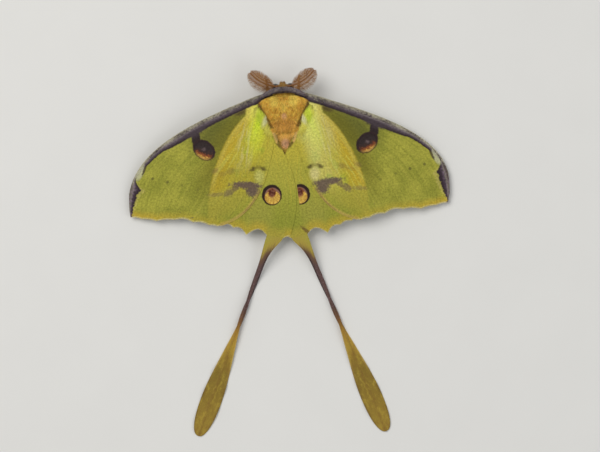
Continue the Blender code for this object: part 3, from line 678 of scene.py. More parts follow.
def hindWingScales():
    m, c = hindMarks, wingMarks
    paint, plan, course, edge, line, broad, wobble, grain, dust, streak = wingBase("hindWingScales", 0.2)
    x, y, side = plan.parts()
    along, _, rim = course.parts()
    speck = grain - 0.5
    right = side.soft(-5, 5)
    besideTail = 1 - along.soft(*m["tail"][:2]) * along.soft(*m["tail"][2:])
    bare = paint.layers(
        middleTone(paint, plan, streak, broad), pale=((156, 150, 66), plan.spot(*m["pale"]) * 0.5),
        margin=(c["margin"], (rim + wobble * 1.4).soft(4.2, 0.3) * (besideTail * 0.4 + 0.25)),
        tail=((162, 150, 58), (rim + wobble).soft(4.5, 0.4) * (1 - besideTail) * 0.95),
        fringe=(c["fringe"], rim.soft(0.34, 0.14) * besideTail * 0.5),
        shadow=((84, 60, 32), plan.spot(*m["shadow"]) * 0.8),
        # a ragged brown patch near the right hindwing's margin, on that side only
        stain=((100, 74, 40), (plan.away(*m["stain"]) + speck * 1.2).soft(1.5, 0.5) * right * 0.8))

    # the eye mark, of which the right forewing covers a part
    shown = 1 - right * (x + (y + 28.3) * 0.106).soft(4, 3.75)
    away = plan.away(*m["eye"]) + speck * 0.12
    gold = plan.local(*m["gold"])
    turn = paint.node("Math", {"operation": "ARCTAN2"}, gold.parts()[:2])
    rays = paint.gather(turn * 2.6, gold.length() * 0.7).noise(2.4, 3)
    pupil = plan.away(*m["pupil"]) + wobble * 0.8 + speck * 0.6
    eyed = paint.layers(
        bare, vein=(c["vein"], line.parts()[0].soft(0.4, 0.05) * 0.07),
        halo=((150, 150, 58), away.soft(1.35, 1.05) * 0.4),
        ring=((46, 30, 26), (away + wobble * 0.08).soft(1.05, 0.95)),
        mauve=(paint.over((158, 118, 96), (108, 70, 58), grain),
               (plan.away(*m["mauve"]) + wobble * 0.12).soft(1.04, 0.9)),
        gold=(paint.over((212, 174, 78), (176, 130, 54), rays.soft(0.42, 0.64)),
              (gold.length() + speck * 0.2).soft(1.05, 0.92)),
        rust=((124, 66, 38), pupil.soft(1.3, 0.9) * 0.9), pupil=((80, 34, 24), pupil.soft(0.95, 0.65)),
        dust=((146, 98, 76), plan.spot(*m["dust"]) * grain * 0.8),
        glint=((150, 106, 84), plan.spot(*m["glint"]) * 0.35))
    return wingFinish(paint, paint.over(bare, eyed, shown), grain, dust)


foreScales, hindScales = foreWingScales(), hindWingScales()
for sideName, side in sides.items():
    for kind, wing, scales in (("fore", foreWingOf(side), foreScales), ("hind", hindWing, hindScales)):
        wing = makeWing(f"{kind}Wing{sideName.title()}", wing, side)
        dressed(wing, scales, kind + "wing", [f"{kind}wing_{sideName}"])
print("stage 2: wings")


# tails: a ribbon that leaves the hindwing's margin, twists half round and ends in a broad blade

tailShape = dict(tilt=math.radians(21.8), length=75.0, veins=(4, 5), middle=0.31, stemHalf=0.95,
                 flareOut=(0.8, 7.0), flareIn=(2.9, 4.2), bladeStart=31.0, bladeWidest=62.0, bladeHalf=3.7,
                 bluntness=2.3, landing=21.0, twist=(8.0, 50.0), rootEase=3.0,
                 skin=0.075, rib=0.3, ribWidth=0.32, fold=(0.52, 29.0, 9.5), ruffle=0.17, rows=190, columns=18)


def makeTail(name, side):
    s = tailShape
    bm, place, row = grid(s["columns"], s["rows"])
    place = np.sin(place * np.pi) * 0.45 + place * 1.1
    share = row / s["rows"]
    d = s["length"] * (1 - (1 - share) ** 1.25) - 0.35 * (1 - share) ** 12
    d = np.minimum(d, s["length"] - 0.06)
    d0 = np.maximum(d, 0)

    spread = smooth((d - s["bladeStart"]) / (s["bladeWidest"] - s["bladeStart"]))
    half = mixed(s["stemHalf"], s["bladeHalf"], spread)
    beyond = np.maximum(0, d - s["bladeWidest"]) / (s["length"] - s["bladeWidest"])
    half = half * np.maximum(0, 1 - beyond ** s["bluntness"]) ** (1 / s["bluntness"])
    outer, inner = (np.maximum(half + s[key][0] * np.exp(-((d0 / s[key][1]) ** power)), 0.25)
                    for key, power in (("flareOut", 2), ("flareIn", 1.4)))
    lateral = place * np.where(place > 0, outer, inner)
    turn = np.pi * smooth((d - s["twist"][0]) / (s["twist"][1] - s["twist"][0]))

    along = np.array([math.sin(s["tilt"]), -math.cos(s["tilt"]), 0])
    across = np.array([math.cos(s["tilt"]), math.sin(s["tilt"]), 0])
    outerTip, innerTip = (np.array([*hindWing["veins"][i][0], 0]) for i in s["veins"])
    start = mixed(outerTip, innerTip, s["middle"])
    margin = outerTip - innerTip
    skew = margin @ along / (margin @ across) * np.exp(-d0 / s["rootEase"])
    wide, up = around(across, upwards, turn), around(upwards, -across, turn)
    point = start + along * d[:, None] + wide * lateral[:, None] + along * (skew * lateral)[:, None]
    blade = smooth((d - 36) / 12) * np.abs(place) ** 1.5
    wave = s["ruffle"] * blade * np.sin(d * 0.62 + np.sign(place) * 1.3 + 0.8 * np.sin(d * 0.23))
    point = point + up * wave[:, None]
    # where it turns over, the stem is folded and thicker
    rib = s["rib"] + s["fold"][0] * np.exp(-(((d - s["fold"][1]) / s["fold"][2]) ** 2))
    thick = s["skin"] + (rib - s["skin"]) * np.exp(-((lateral / s["ribWidth"]) ** 2)) * smooth(d / 5)
    thick = thick + 0.05 * np.exp(-(((np.abs(place) - 1) / 0.08) ** 2)) * smooth(d / 5)

    # it comes down from the wing's height and lies on the floor behind it
    lowest = np.full(s["rows"] + 1, 1e9)
    np.minimum.at(lowest, row, point[:, 2] - thick)
    fall = smooth(d / s["landing"])
    rootHeight = roof(side, *turned(side * start[0], start[1]))
    x, y = turned(side * point[:, 0], point[:, 1])
    slope = (roof(side, x, y) - rootHeight) * np.exp(-d0 / s["rootEase"]) * (1 - fall)
    z = point[:, 2] + mixed(rootHeight, -lowest[row] + 0.01, fall) + slope
    return thickened(name, bm, columns(x, y, z), up * [side, 1, 1] * (thick * mm)[:, None],
                     {"ribbon": columns(d, lateral, place)})


def tailScales():
    paint = Paint("tailScales", Roughness=0.7, Sheen_Weight=0.2, Sheen_Roughness=0.45, Specular_IOR_Level=0.25)
    d, lateral, share = paint.read("ribbon").parts()
    grain = paint.gather(d, lateral * 1.6).noise(1.6, 4, 0.7)
    dust = paint.gather(d, lateral).noise(8)
    cloud = paint.gather(d * 0.5, lateral).noise(0.5, 4, 0.7)
    fleck = paint.gather(d, lateral * 1.3).noise(1.5, 3, 0.7).soft(0.48, 0.64)
    edge = abs(share).soft(0.7, 1)
    run = (d - share.soft(-1, 1) * d.soft(14, 8) * 5 + paint.gather(d * 0.12, lateral * 1.3).noise(1.6, 3) * 5) / 75
    # colours along the tail; further along the blade its mustard is laid on darker, partly its own colour and partly
    # painted shade where the blade lies low
    colour = paint.layers(
        run.ramp((0, (162, 150, 58)), (0.05, (162, 142, 58)), (0.1, (108, 80, 56)), (0.17, (88, 65, 60)),
                 (0.4, (86, 62, 54)), (0.46, (118, 80, 38)), (0.52, (162, 124, 42)), (0.58, (170, 138, 48)),
                 (0.66, (140, 114, 38)), (0.72, (128, 106, 34)), (0.84, (134, 110, 36)), (1, (150, 124, 44))),
        # the edge that lies inwards is dark along the stem
        inwards=((40, 28, 30), share.soft(-0.25, -0.9) * d.soft(3, 9) * d.soft(38, 24) * 0.85),
        fleck=((132, 106, 112), fleck * d.soft(7, 12) * d.soft(35, 28) * 0.45),
        paleEdge=((200, 172, 94), edge * d.soft(33, 38) * d.soft(58, 46) * 0.6),
        darkEdge=((92, 70, 32), edge * d.soft(48, 60) * 0.45),
        rib=((124, 94, 34), abs(lateral).soft(0.7, 0.2) * d.soft(30, 44) * 0.4),
        brown=((124, 88, 34), cloud.soft(0.5, 0.68) * d.soft(28, 40) * 0.5),
        yellow=((176, 150, 54), cloud.soft(0.5, 0.36) * d.soft(34, 48) * 0.5))
    colour = paint.toned(colour, (grain - 0.5) * 0.7 + (dust - 0.5) * 0.6 + 1)
    return paint.finish(colour, grain * 0.2 + 0.6, dust, 0.5, 0.00008)


tailPaint = tailScales()
for sideName, side in sides.items():
    dressed(makeTail("tail" + sideName.title(), side), tailPaint, "tail_stem",
            [f"tail_stem_{sideName}", f"tail_spatula_{sideName}"])
print("stage 3: tails")


# body: one skin from head to abdomen, which lies inside the solids by its coat's depth.
# Stations are (y, half width, half height, height of the middle) from front to rear.

bodyShape = dict(
    thorax=dict(stations=((4.4, 6.2, 3.8, 7.4), (0.3, 9.2, 5.2, 7.7), (-4.4, 6.8, 4.9, 7.5), (-8.2, 5.2, 4.3, 7.1),
                          (-10.8, 4.6, 3.7, 6.4)), caps=(3.0, 2.6), depth=0.5, power=2.6),
    abdomen=dict(stations=((-10.2, 4.5, 3.7, 6.0), (-14.0, 4.5, 3.4, 5.5), (-24.0, 3.6, 2.8, 4.7),
                           (-32.5, 2.0, 1.7, 4.2)), caps=(1.5, 3.5), depth=0.62, rings=7),
    waist=dict(stations=((-5.5, 4.2, 3.6, 7.0), (-10.6, 4.3, 3.8, 6.4), (-15.0, 4.0, 3.1, 5.6)), caps=(3.0, 3.0),
               depth=0.62),
    neck=dict(stations=((5.0, 3.3, 2.3, 7.5), (3.6, 4.1, 2.9, 7.5), (1.8, 4.0, 2.9, 7.5)), caps=(1.0, 1.0), depth=0.5),
    head=dict(stations=((8.0, 2.2, 2.0, 6.1), (5.6, 3.1, 2.8, 6.5), (3.2, 2.8, 2.6, 6.9)), caps=(2.0, 1.6), depth=0.5))
skinShape = dict(voxel=0.3, ringRise=0.3, palpPlace=(0.5, 6.9, 4.9), palpSize=(0.6, 1.1, 0.7), palpLean=-24)


def stationAt(stations, y):
    for one, two in zip(stations, stations[1:]):
        if y >= two[0]:
            share = float(smooth((one[0] - y) / (one[0] - two[0])))
            return [mixed(a, b, share) for a, b in zip(one[1:], two[1:])]
    return stations[-1][1:]


def ringRelief(y, front, rear, rings):
    place = (front - y) / (front - rear) * rings % 1.0
    ends = max(0.0, min(1.0, (front - y) / 2.0, (y - rear) / 2.0))
    return skinShape["ringRise"] * (math.sin(math.pi * place) ** 0.6 - 0.75) * ends


def spindle(stations, caps, depth, power=2.0, rings=0):
    front, rear = stations[0][0], stations[-1][0]
    bm = ball(1.0, (0, 0, 0), 48, 90)
    bmesh.ops.rotate(bm, verts=bm.verts[:], matrix=Matrix.Rotation(math.radians(-90), 3, "X"))
    for vert in bm.verts:
        share = math.acos(max(-1.0, min(1.0, vert.co.y))) / math.pi
        y = mixed(front, rear, share)
        halfWidth, halfHeight, middle = stationAt(stations, y)
        frontCap, rearCap = min(1.0, (front - y) / caps[0]), min(1.0, (y - rear) / caps[1])
        swell = math.sqrt(max(0, 1 - (1 - frontCap) ** 2)) * math.sqrt(max(0, 1 - (1 - rearCap) ** 2))
        y -= depth * (1 - 2 * share)
        reach = (abs(vert.co.x) ** power + abs(vert.co.z) ** power) ** (1 / power)
        if reach < 1e-5:
            vert.co = (0, y, middle)
            continue
        if rings:
            swell += ringRelief(y, front, rear, rings) / halfWidth
        vert.co = (vert.co.x / reach * max(0.02, halfWidth * swell - depth), y,
                   middle + vert.co.z / reach * max(0.02, halfHeight * swell - depth))
    return bm


def bodySkin():
    s = skinShape
    forms = [spindle(**bodyShape[key]) for key in ("thorax", "abdomen", "waist", "neck", "head")]
    for side in sides.values():
        palp = ball(1.0, (0, 0, 0), 16, 12)
        bmesh.ops.scale(palp, verts=palp.verts[:], vec=s["palpSize"])
        x, y, z = s["palpPlace"]
        lean = Matrix.Translation((side * x, y, z)) @ Matrix.Rotation(math.radians(s["palpLean"]), 4, "X")
        bmesh.ops.transform(palp, matrix=lean, verts=palp.verts[:])
        forms.append(palp)
    skin = joined("bodySkin", forms)
    remesh = skin.modifiers.new("oneSkin", "REMESH")
    remesh.mode = "VOXEL"
    remesh.voxel_size = s["voxel"] * mm
    skin.modifiers.new("soften", "SMOOTH").iterations = 6
    mesh = evaluated(skin)
    skin.modifiers.clear()
    skin.data = mesh
    mesh.shade_smooth()
    return skin


# coats: many curved tufts in one mesh

def tuftShape(corners=3, cuts=(0.42, 0.76)):
    # one tuft from a cone: its ring points, heights and triangles
    bm = bmesh.new()
    bmesh.ops.create_cone(bm, cap_ends=True, segments=corners, radius1=0.5, radius2=0.0, depth=1.0)
    bmesh.ops.translate(bm, verts=bm.verts[:], vec=(0, 0, 0.5))
    for height in cuts:
        bmesh.ops.bisect_plane(bm, geom=bm.verts[:] + bm.edges[:] + bm.faces[:], plane_co=(0, 0, height),
                               plane_no=(0, 0, 1))
    bmesh.ops.triangulate(bm, faces=bm.faces[:])
    bm.verts.index_update()
    points = np.array([v.co for v in bm.verts])
    faces = np.array([[v.index for v in f.verts] for f in bm.faces])
    bm.free()
    return points, faces


plainTuft = tuftShape()
coatRoom = [(np.array(corner) - np.array(bodyMiddle)) / mm + inset for corner, inset in zip(cadBox, (0.03, -0.03))]
coatKnee = np.array([0.15, 0.15, 0.6])


def keptInside(points):
    # tufts bow down softly under the highest and widest places of the solids
    low, high = coatRoom
    over = points - (high - coatKnee)
    points = np.where(over > 0, high - coatKnee * np.exp(-np.maximum(over, 0) / coatKnee), points)
    return np.maximum(points, low)


def growCoat(name, rng, roots, lies, ups, lengths, widths, lift, bend, curl, flat, unwrap=None, limit=None,
             tuft=plainTuft, belly=0.35):
    # roots, lies and ups are arrays in millimetres; limit may move points clear of the wings
    shape, faces = tuft
    count = len(roots)
    lies, ups = unit(lies), unit(ups)
    across = unit(np.cross(lies, ups))
    share = shape[:, 2][None, :, None]
    body = (1 - share) ** belly / np.maximum(1 - share, 1e-3)  # fuller than a straight cone, still pointed
    body = np.where(share > 0.999, 0.0, body)
    turns = rng.uniform(-curl, curl, (count, 1, 1))
    lift, bend, lengths, widths = (np.reshape(v, (-1, 1, 1)) for v in (lift, bend, lengths, widths))
    spine = (lies[:, None] * share + ups[:, None] * (lift * share - bend * share ** 2)
             + across[:, None] * turns * share ** 2) * lengths
    ring = across[:, None] * shape[:, 0][None, :, None] + ups[:, None] * shape[:, 1][None, :, None] * flat
    points = roots[:, None] + spine + ring * body * widths
    if limit:
        points = limit(points, roots)
    verts = toFrame(keptInside(points).reshape(-1, 3))
    triangles = (faces[None] + (np.arange(count) * len(shape))[:, None, None]).reshape(-1, 3)
    mesh = bpy.data.meshes.new(name)
    mesh.from_pydata(verts.tolist(), [], triangles.tolist())
    chance, second = rng.random(count), rng.random(count)
    facts = columns(np.repeat(chance, len(shape)), np.tile(shape[:, 2], count), np.repeat(second, len(shape)))
    layer = mesh.attributes.new("tuft", "FLOAT_VECTOR", "POINT")
    layer.data.foreach_set("vector", facts.astype(np.float32).ravel())
    if unwrap is None:
        unwrap = np.stack([rng.random(count), rng.random(count)], 1) * 0.99
    patch = np.clip(unwrap, 0, 0.996)[:, None, :] + (shape[:, [0, 2]] + [0.5, 0])[None] * 0.003
    uv = mesh.uv_layers.new(name="OFBake")
    uv.data.foreach_set("uv", patch.reshape(-1, 2)[triangles.ravel()].astype(np.float32).ravel())
    return objectOf(name, mesh=mesh, angle=80)


def numbersOf(items, key, width, kind=float):
    values = np.zeros(len(items) * width, kind)
    items.foreach_get(key, values)
    return values.reshape(-1, width)


def scatter(piece, count, rng, wanted):
    # even places on a mesh in millimetres about the moth's middle, with their normals
    mesh = piece.data
    mesh.calc_loop_triangles()
    corners = numbersOf(mesh.loop_triangles, "vertices", 3, int)
    co = (numbersOf(mesh.vertices, "co", 3) - np.array(bodyMiddle)) / mm
    normals = numbersOf(mesh.vertices, "normal", 3)
    a, b, c = (co[corners[:, i]] for i in range(3))
    areas = np.linalg.norm(np.cross(b - a, c - a), axis=1)
    areas = areas * wanted(*((a + b + c) / 3).T, unit(np.cross(b - a, c - a))[:, 2])
    chosen = rng.choice(len(areas), count, p=areas / areas.sum())
    u, v = rng.random(count), rng.random(count)
    flip = u + v > 1
    u, v = np.where(flip, 1 - u, u)[:, None], np.where(flip, 1 - v, v)[:, None]
    pick = corners[chosen]
    roots, ups = (values[pick[:, 0]] * (1 - u - v) + values[pick[:, 1]] * u + values[pick[:, 2]] * v
                  for values in (co, normals))
    return roots, unit(ups)


def laidAlong(direction, ups, rng, stray=0.25):
    # the part of a direction that lies in the surface, a little astray
    direction = direction + rng.normal(0, stray, direction.shape)
    return unit(direction - ups * (direction * ups).sum(1, keepdims=True))


# where the wings are, so that hair stays over or under them

def wingSheets(x, y):
    # the highest and lowest wing surface at a place, far off where there is none
    out = np.abs(x)
    front = np.interp(out, foreCostaLine[:, 0], foreCostaLine[:, 1])
    foreInner = acrossAt(y, foreInnerLine)
    overFore = (y < front) & (out > foreInner - 0.15)
    overHind = (y < -2.5) & (out > acrossAt(y, hindInnerLine) - 0.25) & (out < acrossAt(y, hindEdgeTable))
    sheet = np.where(x > 0, roof(1, x, y), roof(-1, x, y))
    fore = sheet + foreLift(out, y, out - foreInner)
    highest = np.where(overFore, fore + 0.22, np.where(overHind, sheet + 0.22, -99.0))
    lowest = np.where(overHind, sheet - 0.22, np.where(overFore, fore - 0.22, 99.0))
    return highest, lowest


def clearOfWings(points, roots):
    top, bottom = wingSheets(points[..., 0], points[..., 1])
    rootTop, rootBottom = wingSheets(roots[:, 0], roots[:, 1])
    rootHeight = roots[:, 2:3]
    above = (rootHeight > ((rootTop + rootBottom) / 2)[:, None]) & (rootHeight > (top + bottom) / 2 - 0.75)
    z = points[..., 2]
    ceiling = np.where(above, 99.0, bottom).min(axis=1, keepdims=True)
    z = np.minimum(z, np.maximum(ceiling, rootHeight))
    z = np.where(above & (top > -50), np.maximum(z, top), z)
    points[..., 2] = np.where(~above & (bottom < 50), np.minimum(z, bottom), z)
    return points


def roundBody(roots):
    # an unwrap of the body: angle about its axis and place along it
    angle = np.arctan2(roots[:, 0], -(roots[:, 2] - 6.5)) / (2 * np.pi) + 0.5
    return np.stack([angle, (roots[:, 1] + 34) / 43.5], 1)


furColours = dict(gold=(234, 210, 96), rose=(224, 178, 144))


def bodyMarkings(paint, place):
    # the same colours for the skin and for the tufts that grow from it
    gold, rose = furColours["gold"], furColours["rose"]
    x, y, z = place.parts()
    out = abs(x)
    mottle = place.noise(0.9, 3, 0.7)
    folded = paint.gather(out, y)
    rings = abs(paint.node("Math", {"operation": "PINGPONG"}, [y + 10.2, 1.593]) - 0.2).soft(0.55, 0.1)
    # painted shadow: a dark line along each side of the thorax, where its fur meets the wings
    flank = (out - y * 0.517 + (mottle - 0.5) * 1.8).soft(7.8, 8.4) * y.soft(-9.2, -7.6) * z.soft(8.2, 9.2)
    return paint.layers(
        (216, 170, 66), mottle=(gold, mottle.soft(0.5, 0.62) * 0.6),
        dark=((166, 106, 40), mottle.soft(0.46, 0.36) * 0.5),
        shoulder=(gold, folded.spot(3.4, 1, 1.6, 2.2, 0, 0.5) * 0.75),
        crown=(gold, folded.spot(0, -1.4, 1, 1.4, 0, 0.6) * 0.5),
        thoraxRose=(rose, folded.spot(0, -4.6, 0.9, 1.1, 0, 0.6) * 0.6),
        rust=((208, 154, 72), folded.spot(0, -7.6, 4.4, 2.4, 0, 0.5) * 0.8),
        abdomen=(paint.over((228, 182, 90), (226, 208, 160), rings * y.soft(-15, -19) * 0.45), y.soft(-9.4, -11.6)),
        waistRose=(rose, folded.spot(0, -13.9, 1.4, 1.6, 0, 0.5) * 0.8), flank=((80, 60, 30), flank * 0.72),
        # painted light: the fur seen in the narrow gap between the hindwings at the tip is laid on pale, against the
        # shade there
        gap=((214, 186, 86), y.soft(-15.4, -16.2) * z.soft(6.4, 7.2)),
        neck=((62, 46, 42), (y + out * out * 0.041).soft(3.5, 4.2) * z.soft(8.6, 9.4) * 0.85),
        belly=((214, 200, 148), z.soft(6.4, 3.4) * y.soft(5, 1) * 0.85), face=((128, 92, 52), y.soft(4.4, 6.6) * 0.85),
        # painted shade: the outer flanks darker low down, where the fur meets the wings
        rootEdge=((96, 70, 44), out.soft(7.2, 9) * z.soft(8, 10) * 0.5)), mottle


def furPaint(name, marks):
    paint = Paint(name, Roughness=0.85, Sheen_Weight=0.35, Sheen_Roughness=0.4, Sheen_Tint=tint(245, 220, 170),
                  Specular_IOR_Level=0.2)
    colour, mottle = marks(paint, paint.place())
    chance, share, second = paint.read("tuft").parts()
    # painted shade: each tuft darker at its root, where the hairs shade one another; its tone also differs at random
    colour = paint.toned(colour, (chance - 0.5) * 0.44 + 0.62 + share.soft(0, 0.9) * 0.56)
    colour = paint.over(colour, (238, 206, 132), second.soft(0.8, 0.95) * share.soft(0.4, 1) * 0.5)
    return paint.finish(colour, mottle * 0.2 + 0.72)


def skinPaint(name, marks, dim=0.5):
    paint = Paint(name, Roughness=0.85, Specular_IOR_Level=0.2)
    place = paint.place()
    colour, mottle = marks(paint, place)
    pits = place.noise(6, 3)
    return paint.finish(paint.toned(colour, pits * 0.4 + dim), mottle * 0.2 + 0.75, pits, 0.6, 0.00015)


# zones of the body's coat: aim is (sideways per millimetre, sideways, tailwards, upwards)
coat = dict(
    thorax=dict(seed=11, count=12500, length=(0.9, 1.7), width=(0.15, 0.25), lift=(0.35, 0.7), bend=0.34,
                aim=(0.05, 0, -1, 0), wanted=lambda x, y, z, up: (y < 4.2) & (y > -10.4)),
    shoulder=dict(seed=14, count=2600, length=(1.3, 2.3), width=(0.15, 0.24), lift=(0.2, 0.5), bend=0.3,
                  aim=(0, 0.9, -1, 0),
                  wanted=lambda x, y, z, up: (y < 3.4) & (y > -8.0) & (up > 0.1) & (np.abs(x) > 3.0)),
    waist=dict(seed=15, count=1700, length=(1.6, 2.6), width=(0.16, 0.24), lift=(0.3, 0.6), bend=0.2,
               aim=(-0.35, 0, -1, 0), wanted=lambda x, y, z, up: (y < -6.5) & (y > -13.2) & (up > 0.2)),
    slit=dict(seed=16, count=1500, length=(1.3, 2.2), width=(0.18, 0.28), lift=(0.7, 1.2), bend=0.1,
              aim=(0, 0.9, -1, 0), wanted=lambda x, y, z, up: (
                  (y < -5.0) & (y > -16.5) & (up > 0.15) & (np.abs(x) > 1.5) & (np.abs(x) < 4.4))),
    abdomen=dict(seed=12, count=6500, length=(1.0, 1.8), width=(0.14, 0.22), lift=(0.16, 0.34), bend=0.12,
                 aim=(0.05, 0, -1, 0), wanted=lambda x, y, z, up: y < -9.6),
    head=dict(seed=13, count=2600, length=(0.6, 1.1), width=(0.1, 0.16), lift=(0.35, 0.7), bend=0.25,
              aim=(0.3, 0, 0.7, -0.5), wanted=lambda x, y, z, up: (
                  (y > 3.8) * (np.hypot(np.hypot(np.abs(x) - 2.6, y - 5.9), z - 6.0) > 1.7))))


def zoneCoat(name, skin, zone):
    s = coat[zone]
    rng = np.random.default_rng(s["seed"])
    roots, ups = scatter(skin, s["count"], rng, s["wanted"])
    spread, sideways, ahead, upward = s["aim"]
    aim = columns(roots[:, 0] * spread + np.sign(roots[:, 0]) * sideways, ahead, upward)
    lies = laidAlong(aim, ups, rng)
    lengths = rng.uniform(*s["length"], len(roots))
    widths = rng.uniform(*s["width"], len(roots))
    flatter = np.clip(1.1 - ups[:, 1] * 0.6, 0.5, 1.0)  # where it faces forwards
    lift = rng.uniform(*s["lift"], len(roots)) * flatter
    return growCoat(name, rng, roots - ups * 0.12, lies, ups, lengths, widths, lift, s["bend"] * flatter, 0.22, 0.6,
                    roundBody(roots), clearOfWings)


skin = dressed(bodySkin(), skinPaint("bodySkin", bodyMarkings), "fur", ["thorax", "abdomen", "head"])
fur = furPaint("bodyFur", bodyMarkings)
for zone in coat:
    dressed(zoneCoat(zone + "Fur", skin, zone), fur, "fur")
print("stage 4: body and its coat")


# collar: the rolled band of hair in front of the thorax, which carries on the wings' dark edge

collarShape = dict(half=1.1, span=7.8, front=5.0, back=2.7, top=11.0, low=10.1, depth=0.45, count=3200,
                   length=(0.9, 1.5), width=(0.12, 0.2))


def collarMiddle(share):
    c = collarShape
    bow = np.cos(share * np.pi / 2)
    return columns(share * c["span"], mixed(c["back"], c["front"], bow), mixed(c["low"], c["top"], bow))


def collarRadius(share, least):
    c = collarShape
    radii = c["half"] * np.minimum(1, np.sqrt(np.maximum(0, 1 - np.abs(share) ** 5))) - c["depth"]
    return np.maximum(radii, least)


def collarMarkings(paint, place):
    x, y, z = place.parts()
    mottle = place.noise(0.9, 3)
    return paint.layers(
        (112, 102, 108), low=((78, 64, 78), z.soft(11.4, 10)), pale=((150, 142, 140), mottle.soft(0.48, 0.7) * 0.6),
        rear=((46, 34, 42), (y + abs(x) * abs(x) * 0.041).soft(4.7, 4) * 0.8)), mottle


def collarCoat():
    c = collarShape
    rng = np.random.default_rng(21)
    share = rng.uniform(-0.98, 0.98, c["count"])
    angle = rng.uniform(0, 2 * np.pi, c["count"])
    middle = collarMiddle(share)
    along = unit(collarMiddle(share + 0.01) - middle)
    forward = unit(np.cross(upwards, along))
    ups = around(forward, np.cross(along, forward), angle)
    roots = middle + ups * collarRadius(share, 0.1)[:, None]
    outward = along * np.sign(share)[:, None] * np.minimum(1, np.abs(share) * 2.5)[:, None]
    lies = laidAlong(outward + np.array([0, -0.35, 0.1]), ups, rng, 0.22)
    lengths = rng.uniform(*c["length"], len(roots)) * mixed(1.0, 0.6, np.abs(share) ** 4)
    widths = rng.uniform(*c["width"], len(roots))
    return growCoat("collarFur", rng, roots, lies, ups, lengths, widths, rng.uniform(0.25, 0.5, len(roots)), 0.3, 0.2,
                    0.6, columns(angle / (2 * np.pi), share * 0.49 + 0.5), clearOfWings)


shares = np.linspace(-0.97, 0.97, 60)
collarSkin = joined("collarSkin", [tube(collarMiddle(shares), collarRadius(shares, 0.15), 6)])
dressed(collarSkin, skinPaint("collarSkin", collarMarkings), "collar", ["collar"])
dressed(collarCoat(), furPaint("collarFur", collarMarkings), "collar")
print("stage 5: collar")


# antennae: each shaft carries four rows of curved branches, and each branch fine bristles

antennaShape = dict(root=(1.8, 6.2, 8.0), turns=(math.radians(86), math.radians(36)), length=11.0, rise=0.8,
                    half=(0.3, 0.15), pairs=27, branch=4.2, slant=math.radians(54), branchWidth=0.2, sag=0.16,
                    bristles=22, bristle=(0.22, 0.42), bristleWidth=0.035)


def antennaPoint(side, share):
    a = antennaShape
    x, y, z = a["root"]
    start, end = a["turns"]
    bend = (end - start) / a["length"]
    turn = start + bend * a["length"] * share
    return columns(side * (x + (np.cos(start) - np.cos(turn)) / bend), y + (np.sin(turn) - np.sin(start)) / bend,
                   z + a["rise"] * np.sin(np.pi * 0.75 * share))


def antennaPaint():
    paint = Paint("antennaChitin", Roughness=0.5, Specular_IOR_Level=0.4)
    grain = paint.place().noise(3, 3)
    chance, share, _ = paint.read("tuft").parts()
    colour = paint.layers((126, 80, 32), pale=((160, 112, 50), (grain * 0.6 + chance * 0.5).soft(0.35, 0.8)),
                          tips=((168, 122, 66), share.soft(0.5, 1) * 0.5))
    return paint.finish(colour, grain * 0.3 + 0.36, grain, 0.3, 0.00005)


def makeAntenna(sideName, side, paint):
    a = antennaShape
    shares = np.linspace(0, 1, 60)
    joints = 1 + 0.12 * np.cos(shares * a["pairs"] * 2 * np.pi)
    shaft = tube(antennaPoint(side, shares), mixed(*a["half"], shares) * joints, 4)
    base = ball(0.5, antennaPoint(side, 0.02))
    dressed(joined("antennaShaft" + sideName.title(), [shaft, base]), paint, "limb", [f"antenna_{sideName}"])

    # every joint carries a fore and a hind pair of branches
    rng = np.random.default_rng(30 + side)
    share = np.repeat(np.linspace(0.12, 0.985, a["pairs"] * 2), 2)
    row = np.tile([1.0, -1.0], a["pairs"] * 2)
    hindPair = np.tile([False, False, True, True], a["pairs"])
    roots = antennaPoint(side, share)
    along = unit(antennaPoint(side, share + 0.01) - antennaPoint(side, share - 0.01))
    across = unit(np.cross(along, upwards)) * row[:, None]
    lies = around(along, across, a["slant"] + np.where(hindPair, -0.12, 0.1))
    ups = unit(np.cross(across, along) * row[:, None] + np.array([0, 0, 0.001]))
    ups = ups * np.sign(ups[:, 2:3])
    reach = np.sin(np.pi * np.minimum(1.0, 0.18 + 0.78 * share)) ** 0.8
    lengths = a["branch"] * reach * rng.uniform(0.93, 1.0, len(share))
    lift = np.where(hindPair, 0.1, 0.02)
    dressed(growCoat("antennaBranches" + sideName.title(), rng, roots, lies, ups, lengths, a["branchWidth"], lift,
                     a["sag"], 0.05, 1.0, tuft=tuftShape(5, (0.15, 0.3, 0.45, 0.6, 0.75, 0.88)), belly=0.3),
            paint, "limb")

    # bristles stand out on both sides of each branch
    many = np.repeat(np.arange(len(share)), a["bristles"])
    place = np.tile(np.linspace(0.1, 0.97, a["bristles"]), len(share))[:, None]
    rise = lift[many][:, None] * place - a["sag"] * place ** 2
    roots = roots[many] + (lies[many] * place + ups[many] * rise) * lengths[many][:, None]
    way = np.where(rng.random(len(many)) > 0.5, 1.0, -1.0)[:, None]
    sideways = np.cross(lies[many], ups[many]) * way
    lies = unit(sideways + lies[many] * 0.7 + rng.normal(0, 0.15, (len(many), 3)))
    dressed(growCoat("antennaBristles" + sideName.title(), rng, roots, lies, ups[many],
                     rng.uniform(*a["bristle"], len(many)), a["bristleWidth"], 0.05, 0.1, 0.1, 1.0,
                     tuft=tuftShape(3, ()), belly=0.8), paint, "limb")


antennaChitin = antennaPaint()
for sideName, side in sides.items():
    makeAntenna(sideName, side, antennaChitin)
print("stage 6: antennae")


# eyes: domes of small facets

eyeShape = dict(radius=1.45, facets=5, facetSize=13.0)


